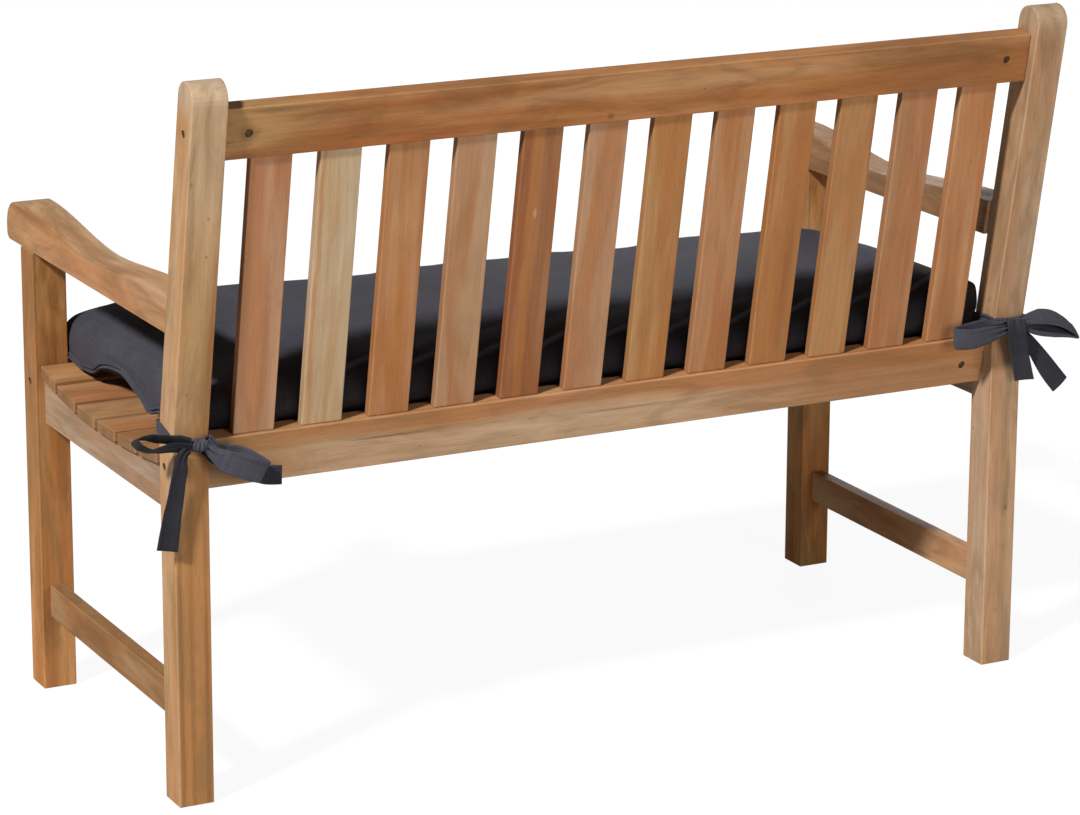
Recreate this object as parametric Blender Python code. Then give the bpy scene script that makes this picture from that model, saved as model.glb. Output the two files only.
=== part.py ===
"""Bench cushion tied with bows to the rear posts of a plain garden bench.

Metres, +Z up. The bench runs along X, its seat faces -Y, and it is built with y = 0 on the rear
face of its rear legs and z = 0 on the floor. The last step moves everything so that the origin is
the bottom centre of the bounding box.
"""

from collections import namedtuple
from math import cos, pi, radians, sin

import bmesh
import bpy
from mathutils import Vector

# Bench, overall
OUTER_X = 0.600  # outer faces of the legs
LEG = 0.045  # legs and posts are square
GAP = 0.0003  # between neighbouring pieces
REST_GAP = 0.0010  # from the hollow of the seat to the cushion, so that it clears each flat slat
EASE = 0.0015  # eased edges of the wood
EASE_STEPS = 2

# Rear posts: upright to the knee, then leaning back
KNEE_Z = 0.460
RAKE = radians(10.8)
POST_RISE = 0.4485  # from the knee, along the lean
CAP_STEPS = 12

# Rails and slats of the back, in the leaning frame: t up the post, s forward from its rear face
RAIL_FACE = 0.012
RAIL_THICK = 0.025
TOP_RAIL_LOW = 0.3505
TOP_RAIL_HIGH = 0.4145
LOW_RAIL_LOW = -0.0741
LOW_RAIL_HIGH = -0.0082
SLAT_COUNT = 12
SLAT_PITCH = 0.0890
SLAT_WIDTH = 0.0535
SLAT_FACE = 0.016
SLAT_THICK = 0.012

# Front legs and armrests
FRONT_LEG_FRONT = -0.517
ARM_UNDER_Z = 0.590
ARM_FRONT = -0.567
ARM_INNER_X = 0.550
ARM_NOSE_Y = -0.535
ARM_NOSE_R = 0.0325
ARM_CREST_Z = 0.643
ARM_DIP_Y = -0.290
ARM_DIP_Z = 0.6205
ARM_BACK_Y = -0.030
ARM_BACK_Z = 0.636
ARM_BACK_EASING = 0.8
ARM_CHIN_R = 0.010
ARM_STEPS = 9

# Seat
SEAT_LOW_Y = -0.280
SEAT_LOW_Z = 0.4195
SEAT_FRONT_CURVE = 0.60
SEAT_BACK_CURVE = 0.26
SEAT_FRONT_Z = 0.442
SEAT_THICK = 0.015
SEAT_END_X = 0.595
SEAT_SLAT_WIDTH = 0.0598
SEAT_PITCH = 0.070
SEAT_REAR_EDGE = -0.0675
SEAT_SLATS = 6
SEAT_FIRST_WIDTH = 0.050
STRIP_REAR = -0.478
STRIP_FRONT = -0.524
STRIP_FRONT_Z = 0.437

# Aprons and stretchers
SIDE_FACE_X = 0.589
APRON_THICK = 0.025
APRON_LOW_Z = 0.362
APRON_STEPS = 12
FRONT_APRON_REAR = -0.480
STRETCHER_THICK = 0.019
STRETCHER_LOW_Z = 0.099
STRETCHER_HIGH_Z = 0.142

# Screws in their recesses
RECESS_R = 0.0052
RECESS_DEPTH = 0.0030
SCREW_R = 0.0046
SCREW_THICK = 0.0016
SCREW_STEPS = 20
POST_SCREW_Y = 0.050
POST_SCREW_Z = 0.842
REAR_LEG_SCREW_Y = -0.030
REAR_LEG_SCREW_Z = 0.423
FRONT_LEG_SCREW_Y = -0.4946
FRONT_LEG_SCREW_Z = 0.4144
RAIL_SCREW_X = 0.522
TOP_RAIL_SCREW_T = 0.3825
LOW_RAIL_SCREW_T = -0.0468

# Cushion
CUSHION_HALF_X = 0.5530
CUSHION_REAR = -0.0440
CUSHION_FRONT = -0.5150
CORNER_LOW = 0.010  # how far the corners of the lower and of the upper panel are rounded off
CORNER_HIGH = 0.005
CORNER_POWER_X = 20
CORNER_POWER_Y = 12
FRONT_CORNER_DROP = 0.008
DROP_POWER = 12
REAR_LEAN = 0.016
LEAN_POWER = 4
DRAWN_IN_X = 0.006
DRAWN_IN_Y = 0.005
LOWER_SEAM_LIFT = 0.016
LIFT_POWER = 16
END_ARCH_Y = -0.305
END_ARCH_HALF = 0.130
END_ARCH_LIFT = 0.034
UPPER_SEAM_Z = 0.5000
REAR_RISE = 0.012
CROWN = 0.028
CROWN_POWER = 3.2
WALL_BULGE = 0.0035
WELT = 0.0018
WELT_STEP = 0.06
FOLD_HEIGHT = 0.0030
FOLD_PITCH = 0.350
FOLD_START = 0.020
FOLD_POWER = 4
OUTWARD_POWER = 9
CUSHION_STEPS_X = 46
CUSHION_STEPS_Y = 20
WALL_STEPS = 6

# Ties
TIE_THICK = 0.0016
TIE_HALF = 0.0145
TIE_GATHERED = 0.38
TIE_STEPS = 4
STRAP_HALF = 0.0090
STRAP_GATHERED = 0.34
STRAP_START_X = 0.5496
STRAP_START_Y = -0.0462
STRAP_SPREAD = 0.0020
STRAP_DROP = 0.004
SIDE_CLEARANCE = 0.0013
REAR_CLEARANCE = 0.0006
CORNER_TURN = 0.0026
KNOT_RINGS = 10
KNOT_SPOKES = 18
KNOT_PINCH = 0.10
KNOT_CLEARANCE = 0.0004
LEFT_STRAP_Z = 0.4690
RIGHT_STRAP_Z = 0.4735

WOOD_COLOUR = (0.52, 0.32, 0.17, 1.0)
CLOTH_COLOUR = (0.045, 0.045, 0.058, 1.0)
SCREW_COLOUR = (0.45, 0.40, 0.30, 1.0)

Station = namedtuple("Station", "at half across")
Finish = namedtuple("Finish", "colour roughness metallic")
WOOD = Finish(WOOD_COLOUR, 0.6, 0.0)
CLOTH = Finish(CLOTH_COLOUR, 0.9, 0.0)
METAL = Finish(SCREW_COLOUR, 0.4, 1.0)

UPRIGHT = Vector((0, 0, 1))
RAKED = Vector((0, sin(RAKE), cos(RAKE)))

Knot = namedtuple("Knot", "centre size")
LEFT_KNOT = Knot(Vector((0.5725, 0.0138, 0.4575)), Vector((0.0105, 0.0092, 0.0120)))
RIGHT_KNOT = Knot(Vector((-0.5795, 0.0146, 0.4732)), Vector((0.0125, 0.0092, 0.0118)))


def clear_scene():
    for obj in list(bpy.data.objects):
        bpy.data.objects.remove(obj, do_unlink=True)


def material(name, finish):
    made = bpy.data.materials.new(name)
    made.use_nodes = True
    shader = made.node_tree.nodes["Principled BSDF"]
    shader.inputs["Base Color"].default_value = finish.colour
    shader.inputs["Roughness"].default_value = finish.roughness
    shader.inputs["Metallic"].default_value = finish.metallic
    return made


def add_object(name, mesh_data, finish):
    """One closed piece: its faces are turned outward, and it gets a material of its own."""
    bmesh.ops.recalc_face_normals(mesh_data, faces=mesh_data.faces)
    mesh = bpy.data.meshes.new(name)
    mesh_data.to_mesh(mesh)
    mesh_data.free()
    mesh.materials.append(material(name + "_finish", finish))
    obj = bpy.data.objects.new(name, mesh)
    bpy.context.scene.collection.objects.link(obj)
    return obj


def prism(name, outline, x_low, x_high, finish=WOOD):
    """A board with the given (y, z) outline between two x planes, with eased edges."""
    board = bmesh.new()
    low = [board.verts.new((x_low, y, z)) for y, z in outline]
    high = [board.verts.new((x_high, y, z)) for y, z in outline]
    board.faces.new(low)
    board.faces.new(list(reversed(high)))
    for i in range(len(outline)):
        j = (i + 1) % len(outline)
        board.faces.new((low[i], high[i], high[j], low[j]))
    obj = add_object(name, board, finish)
    ease = obj.modifiers.new("eased_edges", "BEVEL")
    ease.width = EASE
    ease.segments = EASE_STEPS
    ease.limit_method = "ANGLE"
    ease.angle_limit = radians(30)
    return obj


def leaning(t, s):
    """(y, z) of the point t up the lean and s forward of the posts' rear face."""
    y = t * sin(RAKE) - s * cos(RAKE)
    z = KNEE_Z + t * cos(RAKE) + s * sin(RAKE)
    return y, z


def front_face_y(z):
    """y of the leaning front face of the posts at height z."""
    t = (z - KNEE_Z - LEG * sin(RAKE)) / cos(RAKE)
    return leaning(t, LEG)[0]


def seat_z(y):
    """Height of the seat's upper side, hollow towards the back."""
    curve = SEAT_FRONT_CURVE if y < SEAT_LOW_Y else SEAT_BACK_CURVE
    return min(SEAT_LOW_Z + curve * (y - SEAT_LOW_Y) ** 2, SEAT_FRONT_Z)


def add_disc(mesh_data, centre, axis, radius, depth):
    """A short cylinder that starts at centre and runs along axis for depth."""
    side = axis.orthogonal().normalized()
    other = axis.cross(side)
    rings = []
    for along in (0.0, depth):
        ring = []
        for i in range(SCREW_STEPS):
            turn = 2 * pi * i / SCREW_STEPS
            spoke = side * cos(turn) + other * sin(turn)
            ring.append(mesh_data.verts.new(centre + axis * along + spoke * radius))
        rings.append(ring)
    mesh_data.faces.new(rings[0])
    mesh_data.faces.new(list(reversed(rings[1])))
    for i in range(SCREW_STEPS):
        j = (i + 1) % SCREW_STEPS
        mesh_data.faces.new((rings[0][i], rings[0][j], rings[1][j], rings[1][i]))


def add_screws(board, screws, out):
    """Cuts a recess at each named point of the board's face and sets a screw head in it."""
    cutter = bmesh.new()
    for point in screws.values():
        add_disc(cutter, point - out * RECESS_DEPTH, out, RECESS_R, 2 * RECESS_DEPTH)
    tool = add_object(board.name + "_cutter", cutter, METAL)
    tool.hide_render = True
    cut = board.modifiers.new("recesses", "BOOLEAN")
    cut.operation = "DIFFERENCE"
    cut.solver = "EXACT"
    cut.object = tool
    for name, point in screws.items():
        head = bmesh.new()
        floor = point - out * (RECESS_DEPTH - GAP)
        add_disc(head, floor, out, SCREW_R, SCREW_THICK)
        add_object(name, head, METAL)


def add_side(side, label):
    """One end of the bench: rear post, front leg, armrest, apron and stretcher."""
    outer = side * OUTER_X
    inner = side * (OUTER_X - LEG)
    out = Vector((side, 0, 0))
    post = prism("rear_post_" + label, post_outline(), *sorted((outer, inner)))
    add_screws(
        post,
        {
            "post_screw_" + label: Vector((outer, POST_SCREW_Y, POST_SCREW_Z)),
            "rear_leg_screw_" + label: Vector((outer, REAR_LEG_SCREW_Y, REAR_LEG_SCREW_Z)),
        },
        out,
    )
    leg = prism("front_leg_" + label, front_leg_outline(), *sorted((outer, inner)))
    leg_screw = Vector((outer, FRONT_LEG_SCREW_Y, FRONT_LEG_SCREW_Z))
    add_screws(leg, {"front_leg_screw_" + label: leg_screw}, out)
    prism("armrest_" + label, armrest_outline(), *sorted((outer, side * ARM_INNER_X)))
    face = side * SIDE_FACE_X
    apron_back = side * (SIDE_FACE_X - APRON_THICK)
    prism("side_apron_" + label, apron_outline(), *sorted((face, apron_back)))
    stretcher_back = side * (SIDE_FACE_X - STRETCHER_THICK)
    prism("side_stretcher_" + label, stretcher_outline(), *sorted((face, stretcher_back)))


def post_outline():
    """Upright to the knee, leaning above it, with a half-round top."""
    front_knee = KNEE_Z + LEG * (1 - cos(RAKE)) / sin(RAKE)
    radius = LEG / 2
    points = [(-LEG, 0.0), (0.0, 0.0), (0.0, KNEE_Z)]
    for i in range(CAP_STEPS + 1):
        turn = pi * i / CAP_STEPS
        t = POST_RISE - radius + radius * sin(turn)
        points.append(leaning(t, radius - radius * cos(turn)))
    points.append((-LEG, front_knee))
    return points


def front_leg_outline():
    back = FRONT_LEG_FRONT + LEG
    top = ARM_UNDER_Z - GAP
    return [(FRONT_LEG_FRONT, 0.0), (back, 0.0), (back, top), (FRONT_LEG_FRONT, top)]


def armrest_outline():
    """Flat below; above it a round nose, a crest, a dip and a rise to the post."""
    points = [(front_face_y(ARM_UNDER_Z) - GAP, ARM_UNDER_Z)]
    chin = radians(90) / ARM_STEPS
    for i in range(ARM_STEPS + 1):
        y = ARM_FRONT + ARM_CHIN_R * (1 - sin(i * chin))
        points.append((y, ARM_UNDER_Z + ARM_CHIN_R * (1 - cos(i * chin))))
    nose_z = ARM_CREST_Z - ARM_NOSE_R
    nose_depth = ARM_NOSE_Y - ARM_FRONT
    for i in range(ARM_STEPS + 1):
        turn = i * chin
        points.append((ARM_NOSE_Y - nose_depth * cos(turn), nose_z + ARM_NOSE_R * sin(turn)))
    for i in range(1, ARM_STEPS + 1):
        share = i / ARM_STEPS
        y = ARM_NOSE_Y + (ARM_DIP_Y - ARM_NOSE_Y) * share
        fall = (ARM_CREST_Z - ARM_DIP_Z) * (1 + cos(pi * share)) / 2
        points.append((y, ARM_DIP_Z + fall))
    for i in range(1, ARM_STEPS):
        share = i / ARM_STEPS
        y = ARM_DIP_Y + (ARM_BACK_Y - ARM_DIP_Y) * share
        rise = (ARM_BACK_Z - ARM_DIP_Z) * sin(pi / 2 * share**ARM_BACK_EASING) ** 2
        points.append((y, ARM_DIP_Z + rise))
    points.append((front_face_y(ARM_BACK_Z) - GAP, ARM_BACK_Z))
    return points


def apron_outline():
    """A board between the legs whose upper edge follows the underside of the seat."""
    front = FRONT_LEG_FRONT + LEG + GAP
    back = -LEG - GAP
    points = [(front, APRON_LOW_Z), (back, APRON_LOW_Z)]
    for i in range(APRON_STEPS + 1):
        y = back + (front - back) * i / APRON_STEPS
        points.append((y, seat_z(y) - SEAT_THICK - 3 * GAP))
    return points


def stretcher_outline():
    front = FRONT_LEG_FRONT + LEG + GAP
    back = -LEG - GAP
    return [
        (front, STRETCHER_LOW_Z),
        (back, STRETCHER_LOW_Z),
        (back, STRETCHER_HIGH_Z),
        (front, STRETCHER_HIGH_Z),
    ]


def leaning_board(t_low, t_high, s_rear, thick):
    """Outline of a board that lies in the plane of the back."""
    corners = ((t_low, s_rear), (t_high, s_rear), (t_high, s_rear + thick), (t_low, s_rear + thick))
    return [leaning(t, s) for t, s in corners]


def add_back():
    """Two rails between the posts and the row of upright slats."""
    end = OUTER_X - LEG - GAP
    out = Vector((0, cos(RAKE), -sin(RAKE)))
    rails = {
        "top_rail": (TOP_RAIL_LOW, TOP_RAIL_HIGH, TOP_RAIL_SCREW_T),
        "lower_rail": (LOW_RAIL_LOW, LOW_RAIL_HIGH, LOW_RAIL_SCREW_T),
    }
    for name, (low, high, screw_t) in rails.items():
        rail = prism(name, leaning_board(low, high, RAIL_FACE, RAIL_THICK), -end, end)
        y, z = leaning(screw_t, RAIL_FACE)
        screws = {
            name + "_screw_left": Vector((RAIL_SCREW_X, y, z)),
            name + "_screw_right": Vector((-RAIL_SCREW_X, y, z)),
        }
        add_screws(rail, screws, out)
    outline = leaning_board(LOW_RAIL_HIGH + GAP, TOP_RAIL_LOW - GAP, SLAT_FACE, SLAT_THICK)
    for i in range(SLAT_COUNT):
        middle = ((SLAT_COUNT - 1) / 2 - i) * SLAT_PITCH
        low, high = middle - SLAT_WIDTH / 2, middle + SLAT_WIDTH / 2
        prism(f"back_slat_{i + 1}", outline, low, high)


def seat_board(front, back):
    """Outline of one seat slat, laid along the hollow of the seat."""
    rise = (seat_z(front), seat_z(back))
    return [
        (front, rise[0] - SEAT_THICK),
        (back, rise[1] - SEAT_THICK),
        (back, rise[1]),
        (front, rise[0]),
    ]


def add_seat():
    """Slats along the bench, a strip between the front legs and an apron under it."""
    for i in range(SEAT_SLATS):
        back = SEAT_REAR_EDGE - i * SEAT_PITCH
        width = SEAT_FIRST_WIDTH if i == SEAT_SLATS - 1 else SEAT_SLAT_WIDTH
        prism(f"seat_slat_{i + 1}", seat_board(back - width, back), -SEAT_END_X, SEAT_END_X)
    end = OUTER_X - LEG - GAP
    strip = [
        (STRIP_FRONT, STRIP_FRONT_Z - SEAT_THICK),
        (STRIP_REAR, SEAT_FRONT_Z - SEAT_THICK),
        (STRIP_REAR, SEAT_FRONT_Z),
        (STRIP_FRONT, STRIP_FRONT_Z),
    ]
    prism("seat_front_strip", strip, -end, end)
    front = FRONT_APRON_REAR - APRON_THICK
    top = STRIP_FRONT_Z - SEAT_THICK - 2 * GAP
    apron = [
        (front, APRON_LOW_Z),
        (FRONT_APRON_REAR, APRON_LOW_Z),
        (FRONT_APRON_REAR, top),
        (front, top),
    ]
    prism("front_apron", apron, -end, end)


def cushion_plan(u, v, corner):
    """(x, y) on the cushion for u, v from -1 to 1: sides drawn in, corners rounded."""
    half_y = (CUSHION_REAR - CUSHION_FRONT) / 2
    middle = (CUSHION_REAR + CUSHION_FRONT) / 2
    x = u * (CUSHION_HALF_X - DRAWN_IN_X * (1 - v**2) - corner * v**CORNER_POWER_Y)
    y = middle + v * (half_y - DRAWN_IN_Y * (1 - u**2) - corner * u**CORNER_POWER_X)
    return x, y


def cushion_top(u, v):
    """Upper panel: a crown that is lowest at the seam, with shallow folds across it."""
    x, y = cushion_plan(u, v, CORNER_HIGH)
    y += REAR_LEAN * ((1 + v) / 2) ** LEAN_POWER
    drop = FRONT_CORNER_DROP * u**DROP_POWER * ((1 - v) / 2) ** DROP_POWER
    seam = UPPER_SEAM_Z + REAR_RISE * (1 + v) / 2 - drop
    crown = (1 - abs(u) ** (2 * CROWN_POWER)) * (1 - abs(v) ** CROWN_POWER)
    wave = FOLD_HEIGHT * cos(2 * pi * (x - FOLD_START) / FOLD_PITCH)
    folds = wave * (1 - u**FOLD_POWER)
    return Vector((x, y, seam + CROWN * crown + folds))


def cushion_bottom(u, v):
    """Lower panel: it lies on the hollow of the seat and turns up to the seam at its edges.

    Midway along each end the seam is pulled up further, in an arch.
    """
    x, y = cushion_plan(u, v, CORNER_LOW)
    long_edge = abs(v) ** LIFT_POWER
    end_edge = abs(u) ** (2 * LIFT_POWER)
    off_middle = min(abs(y - END_ARCH_Y) / END_ARCH_HALF, 1)
    arch = END_ARCH_LIFT * cos(pi / 2 * off_middle) ** 2
    lift = LOWER_SEAM_LIFT * (1 - (1 - end_edge) * (1 - long_edge)) + arch * end_edge
    return Vector((x, y, seat_z(y) + REST_GAP + lift))


def outward(u, v):
    """Level direction out of the cushion's side wall at a point on its edge."""
    return Vector((u**OUTWARD_POWER, v**OUTWARD_POWER, 0)).normalized()


def edge_samples(count):
    """From -1 to 1, closer together towards both ends."""
    return [sin(pi / 2 * (2 * i / count - 1)) for i in range(count + 1)]


def edge_cells():
    """(i, j) of the grid points round the edge, in order."""
    nx, ny = CUSHION_STEPS_X, CUSHION_STEPS_Y
    cells = [(i, 0) for i in range(nx)]
    cells += [(nx, j) for j in range(ny)]
    cells += [(i, ny) for i in range(nx, 0, -1)]
    cells += [(0, j) for j in range(ny, 0, -1)]
    return cells


def wall_rows():
    """Height share and outward offset of each row of the wall, a welt at both seams."""
    rows = []
    for k in range(WALL_STEPS + 1):
        share = WELT_STEP + (1 - 2 * WELT_STEP) * k / WALL_STEPS
        rows.append((share, WALL_BULGE * sin(pi * k / WALL_STEPS)))
    return rows


def add_cushion():
    """The filled cushion as one solid: upper panel, wall and lower panel."""
    shell = bmesh.new()
    us, vs = edge_samples(CUSHION_STEPS_X), edge_samples(CUSHION_STEPS_Y)
    cells = edge_cells()
    panels = []
    for height in (cushion_bottom, cushion_top):
        panel = {}
        for i, u in enumerate(us):
            for j, v in enumerate(vs):
                at = height(u, v)
                if (i, j) in cells:
                    at = at + outward(u, v) * WELT
                panel[i, j] = shell.verts.new(at)
        for i in range(CUSHION_STEPS_X):
            for j in range(CUSHION_STEPS_Y):
                square = ((i, j), (i + 1, j), (i + 1, j + 1), (i, j + 1))
                shell.faces.new([panel[cell] for cell in square])
        panels.append(panel)
    rows = [[panels[0][cell] for cell in cells]]
    for share, offset in wall_rows():
        row = []
        for i, j in cells:
            low, high = cushion_bottom(us[i], vs[j]), cushion_top(us[i], vs[j])
            at = low.lerp(high, share) + outward(us[i], vs[j]) * offset
            row.append(shell.verts.new(at))
        rows.append(row)
    rows.append([panels[1][cell] for cell in cells])
    for low, high in zip(rows, rows[1:]):
        for k in range(len(cells)):
            n = (k + 1) % len(cells)
            shell.faces.new((low[k], low[n], high[n], high[k]))
    add_object("cushion", shell, CLOTH)


def between(stations, index, share):
    """The station at a share of the way from one control station to the next, on a smooth curve."""
    last = len(stations) - 1
    around = [stations[min(max(index + k, 0), last)] for k in (-1, 0, 1, 2)]
    square, cube = share**2, share**3
    weights = (
        (-cube + 2 * square - share) / 2,
        (3 * cube - 5 * square + 2) / 2,
        (-3 * cube + 4 * square + share) / 2,
        (cube - square) / 2,
    )
    at = sum((s.at * w for s, w in zip(around, weights)), Vector())
    across = sum((s.across * w for s, w in zip(around, weights)), Vector())
    half = stations[index].half * (1 - share) + stations[index + 1].half * share
    return Station(at, half, across.normalized())


def smooth(stations):
    fine = []
    for index in range(len(stations) - 1):
        for step in range(TIE_STEPS):
            fine.append(between(stations, index, step / TIE_STEPS))
    fine.append(stations[-1])
    return fine


def add_strip(name, stations):
    """A strip of hemmed cloth along its stations, as wide as each one says."""
    fine = smooth(stations)
    strip = bmesh.new()
    rings = []
    for index, station in enumerate(fine):
        ahead = fine[min(index + 1, len(fine) - 1)].at
        behind = fine[max(index - 1, 0)].at
        across = station.across.normalized()
        normal = (ahead - behind).cross(across).normalized() * TIE_THICK / 2
        edge = across * station.half
        corners = (edge + normal, edge - normal, -edge - normal, -edge + normal)
        rings.append([strip.verts.new(station.at + corner) for corner in corners])
    for low, high in zip(rings, rings[1:]):
        for i in range(4):
            j = (i + 1) % 4
            strip.faces.new((low[i], low[j], high[j], high[i]))
    strip.faces.new(rings[0])
    strip.faces.new(list(reversed(rings[-1])))
    add_object(name, strip, CLOTH)


def add_knot(name, knot):
    """A small drawn-tight knot: a rounded body, pinched between the places where the tie leaves."""
    centre, size = knot
    body = bmesh.new()
    top = body.verts.new(centre + Vector((0, 0, size.z)))
    bottom = body.verts.new(centre - Vector((0, 0, size.z)))
    rings = []
    for i in range(1, KNOT_RINGS):
        tilt = pi * i / KNOT_RINGS
        ring = []
        for j in range(KNOT_SPOKES):
            turn = 2 * pi * j / KNOT_SPOKES
            pinch = 1 - KNOT_PINCH * sin(2 * turn) ** 2
            spoke = Vector((cos(turn) * size.x, sin(turn) * size.y, 0)) * sin(tilt) * pinch
            ring.append(body.verts.new(centre + spoke + Vector((0, 0, cos(tilt) * size.z))))
        rings.append(ring)
    for j in range(KNOT_SPOKES):
        n = (j + 1) % KNOT_SPOKES
        body.faces.new((top, rings[0][j], rings[0][n]))
        body.faces.new((bottom, rings[-1][n], rings[-1][j]))
        for low, high in zip(rings, rings[1:]):
            body.faces.new((low[j], high[j], high[n], low[n]))
    add_object(name, body, CLOTH)


def outside(knot, point):
    """How far a point lies outside the knot's surface, in metres, measured along its spoke."""
    centre, size = knot
    spoke = point - centre
    depth = sum((spoke[k] / size[k]) ** 2 for k in range(3)) ** 0.5
    return spoke.length * (1 - 1 / depth)


def leaving(knot, toward, across, share=TIE_GATHERED):
    """The station at the knot's surface where a strip leaves it, gathered, in the direction toward."""
    half = TIE_HALF * share
    at = knot.centre + toward.normalized() * min(knot.size)
    edges = [across * half * k / 2 for k in range(-2, 3)]
    while min(outside(knot, at + edge) for edge in edges) < KNOT_CLEARANCE:
        at = at + toward.normalized() * KNOT_CLEARANCE / 2
    return Station(at, half, across)


def corner_turn(x, y, from_angle, to_angle, z, across):
    """Stations round an upright edge of a post at (x, y), by angles from +X."""
    made = []
    for k in range(3):
        turn = from_angle + (to_angle - from_angle) * k / 2
        at = Vector((x + CORNER_TURN * cos(turn), y + CORNER_TURN * sin(turn), z))
        made.append(Station(at, STRAP_HALF, across))
    return made


def outer_strap(side, z, knot):
    """From the cushion's rear corner past the post's front, round its outer side, to the knot."""
    rear_y = (z - KNEE_Z) * sin(RAKE) + REAR_CLEARANCE
    aside = 0.0 if side > 0 else pi
    front = -pi / 2 if side > 0 else 3 * pi / 2
    front_y = -LEG - CORNER_TURN
    start = Vector((side * STRAP_START_X, STRAP_START_Y - STRAP_SPREAD, z - STRAP_DROP))
    made = [Station(start, TIE_GATHERED * TIE_HALF, UPRIGHT)]
    past_post = Vector((side * (OUTER_X - LEG / 2), front_y - GAP, z))
    made.append(Station(past_post, STRAP_HALF, UPRIGHT))
    made += corner_turn(side * (OUTER_X - EASE), -LEG - GAP, front, aside, z, UPRIGHT)
    made.append(Station(Vector((side * (OUTER_X + SIDE_CLEARANCE), -LEG / 2, z)), STRAP_HALF, UPRIGHT))
    made += corner_turn(side * (OUTER_X - EASE), rear_y, aside, pi / 2, z, RAKED)
    made.append(leaving(knot, Vector((side, -0.60, 0.50)), RAKED, STRAP_GATHERED))
    return made


def inner_strap(side, z, knot):
    """From the cushion's rear corner along the post's inner side to the knot."""
    rear_y = (z - KNEE_Z) * sin(RAKE) + REAR_CLEARANCE
    aside = pi if side > 0 else 0.0
    inner_x = OUTER_X - LEG
    start = Vector((side * (STRAP_START_X + STRAP_SPREAD), STRAP_START_Y, z - STRAP_DROP))
    made = [Station(start, TIE_GATHERED * TIE_HALF, UPRIGHT)]
    made.append(Station(Vector((side * (inner_x - SIDE_CLEARANCE), -LEG / 2, z)), STRAP_HALF, UPRIGHT))
    made += corner_turn(side * (inner_x + EASE / 2), rear_y, aside, pi / 2, z, RAKED)
    made.append(leaving(knot, Vector((-side, -0.60, 0.50)), RAKED, STRAP_GATHERED))
    return made


def stations(across, *rows):
    """Stations that share one width direction, from (x, y, z, share of the tie's width)."""
    return [Station(Vector(row[:3]), TIE_HALF * row[3], across) for row in rows]


def loop_between(knot, away, back, across, *rows):
    """Stations of a bow's loop that leaves its knot in one direction and comes back in another."""
    out = leaving(knot, away, across)
    home = leaving(knot, back, across)
    return [out] + stations(across, *rows) + [home]


def add_left_bow():
    """The bow on the post at +X: one loop stands out past the post, one lies over the rail."""
    knot = LEFT_KNOT
    add_knot("knot_left", knot)
    add_strip("strap_outer_left", outer_strap(1, LEFT_STRAP_Z, knot))
    add_strip("strap_inner_left", inner_strap(1, LEFT_STRAP_Z, knot))
    outer_loop = loop_between(
        knot,
        Vector((1, 0.35, 0.50)),
        Vector((1, 0.35, -0.25)),
        Vector((0, 0.97, -0.243)),
        (0.6000, 0.0205, 0.4690, 0.65),
        (0.6250, 0.0180, 0.4735, 0.90),
        (0.6450, 0.0165, 0.4725, 0.95),
        (0.6560, 0.0160, 0.4675, 0.95),
        (0.6450, 0.0165, 0.4610, 0.95),
        (0.6250, 0.0180, 0.4580, 0.90),
        (0.6000, 0.0205, 0.4560, 0.65),
    )
    add_strip("loop_outer_left", outer_loop)
    slant = Vector((-0.504, 0, 0.8635))
    inner_loop = loop_between(
        knot,
        Vector((-1, -0.10, 0.15)),
        Vector((-1, 0.55, -0.10)),
        slant,
        (0.5490, 0.0120, 0.4510, 0.75),
        (0.5300, 0.0060, 0.4390, 1.00),
        (0.5060, 0.0040, 0.4275, 1.00),
        (0.4860, 0.0105, 0.4125, 0.95),
        (0.5060, 0.0200, 0.4215, 1.00),
        (0.5300, 0.0235, 0.4330, 1.00),
        (0.5490, 0.0215, 0.4440, 0.75),
    )
    add_strip("loop_inner_left", inner_loop)
    level = Vector((1, 0, 0.20)).normalized()
    hanging = [leaving(knot, Vector((0.45, 0.05, -1)), level, 0.45)]
    hanging += stations(
        level,
        (0.5890, 0.0145, 0.4300, 0.48),
        (0.6005, 0.0130, 0.3960, 0.65),
        (0.6080, 0.0130, 0.3620, 0.85),
        (0.6137, 0.0120, 0.3320, 1.03),
    )
    add_strip("tail_hanging_left", hanging)
    lying = [leaving(knot, Vector((-0.80, -0.45, -0.75)), slant)]
    lying += stations(
        slant,
        (0.5480, 0.0030, 0.4390, 0.70),
        (0.5250, -0.0060, 0.4290, 0.85),
        (0.4950, -0.0090, 0.4150, 0.85),
        (0.4630, -0.0085, 0.4000, 0.80),
    )
    add_strip("tail_lying_left", lying)


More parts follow.
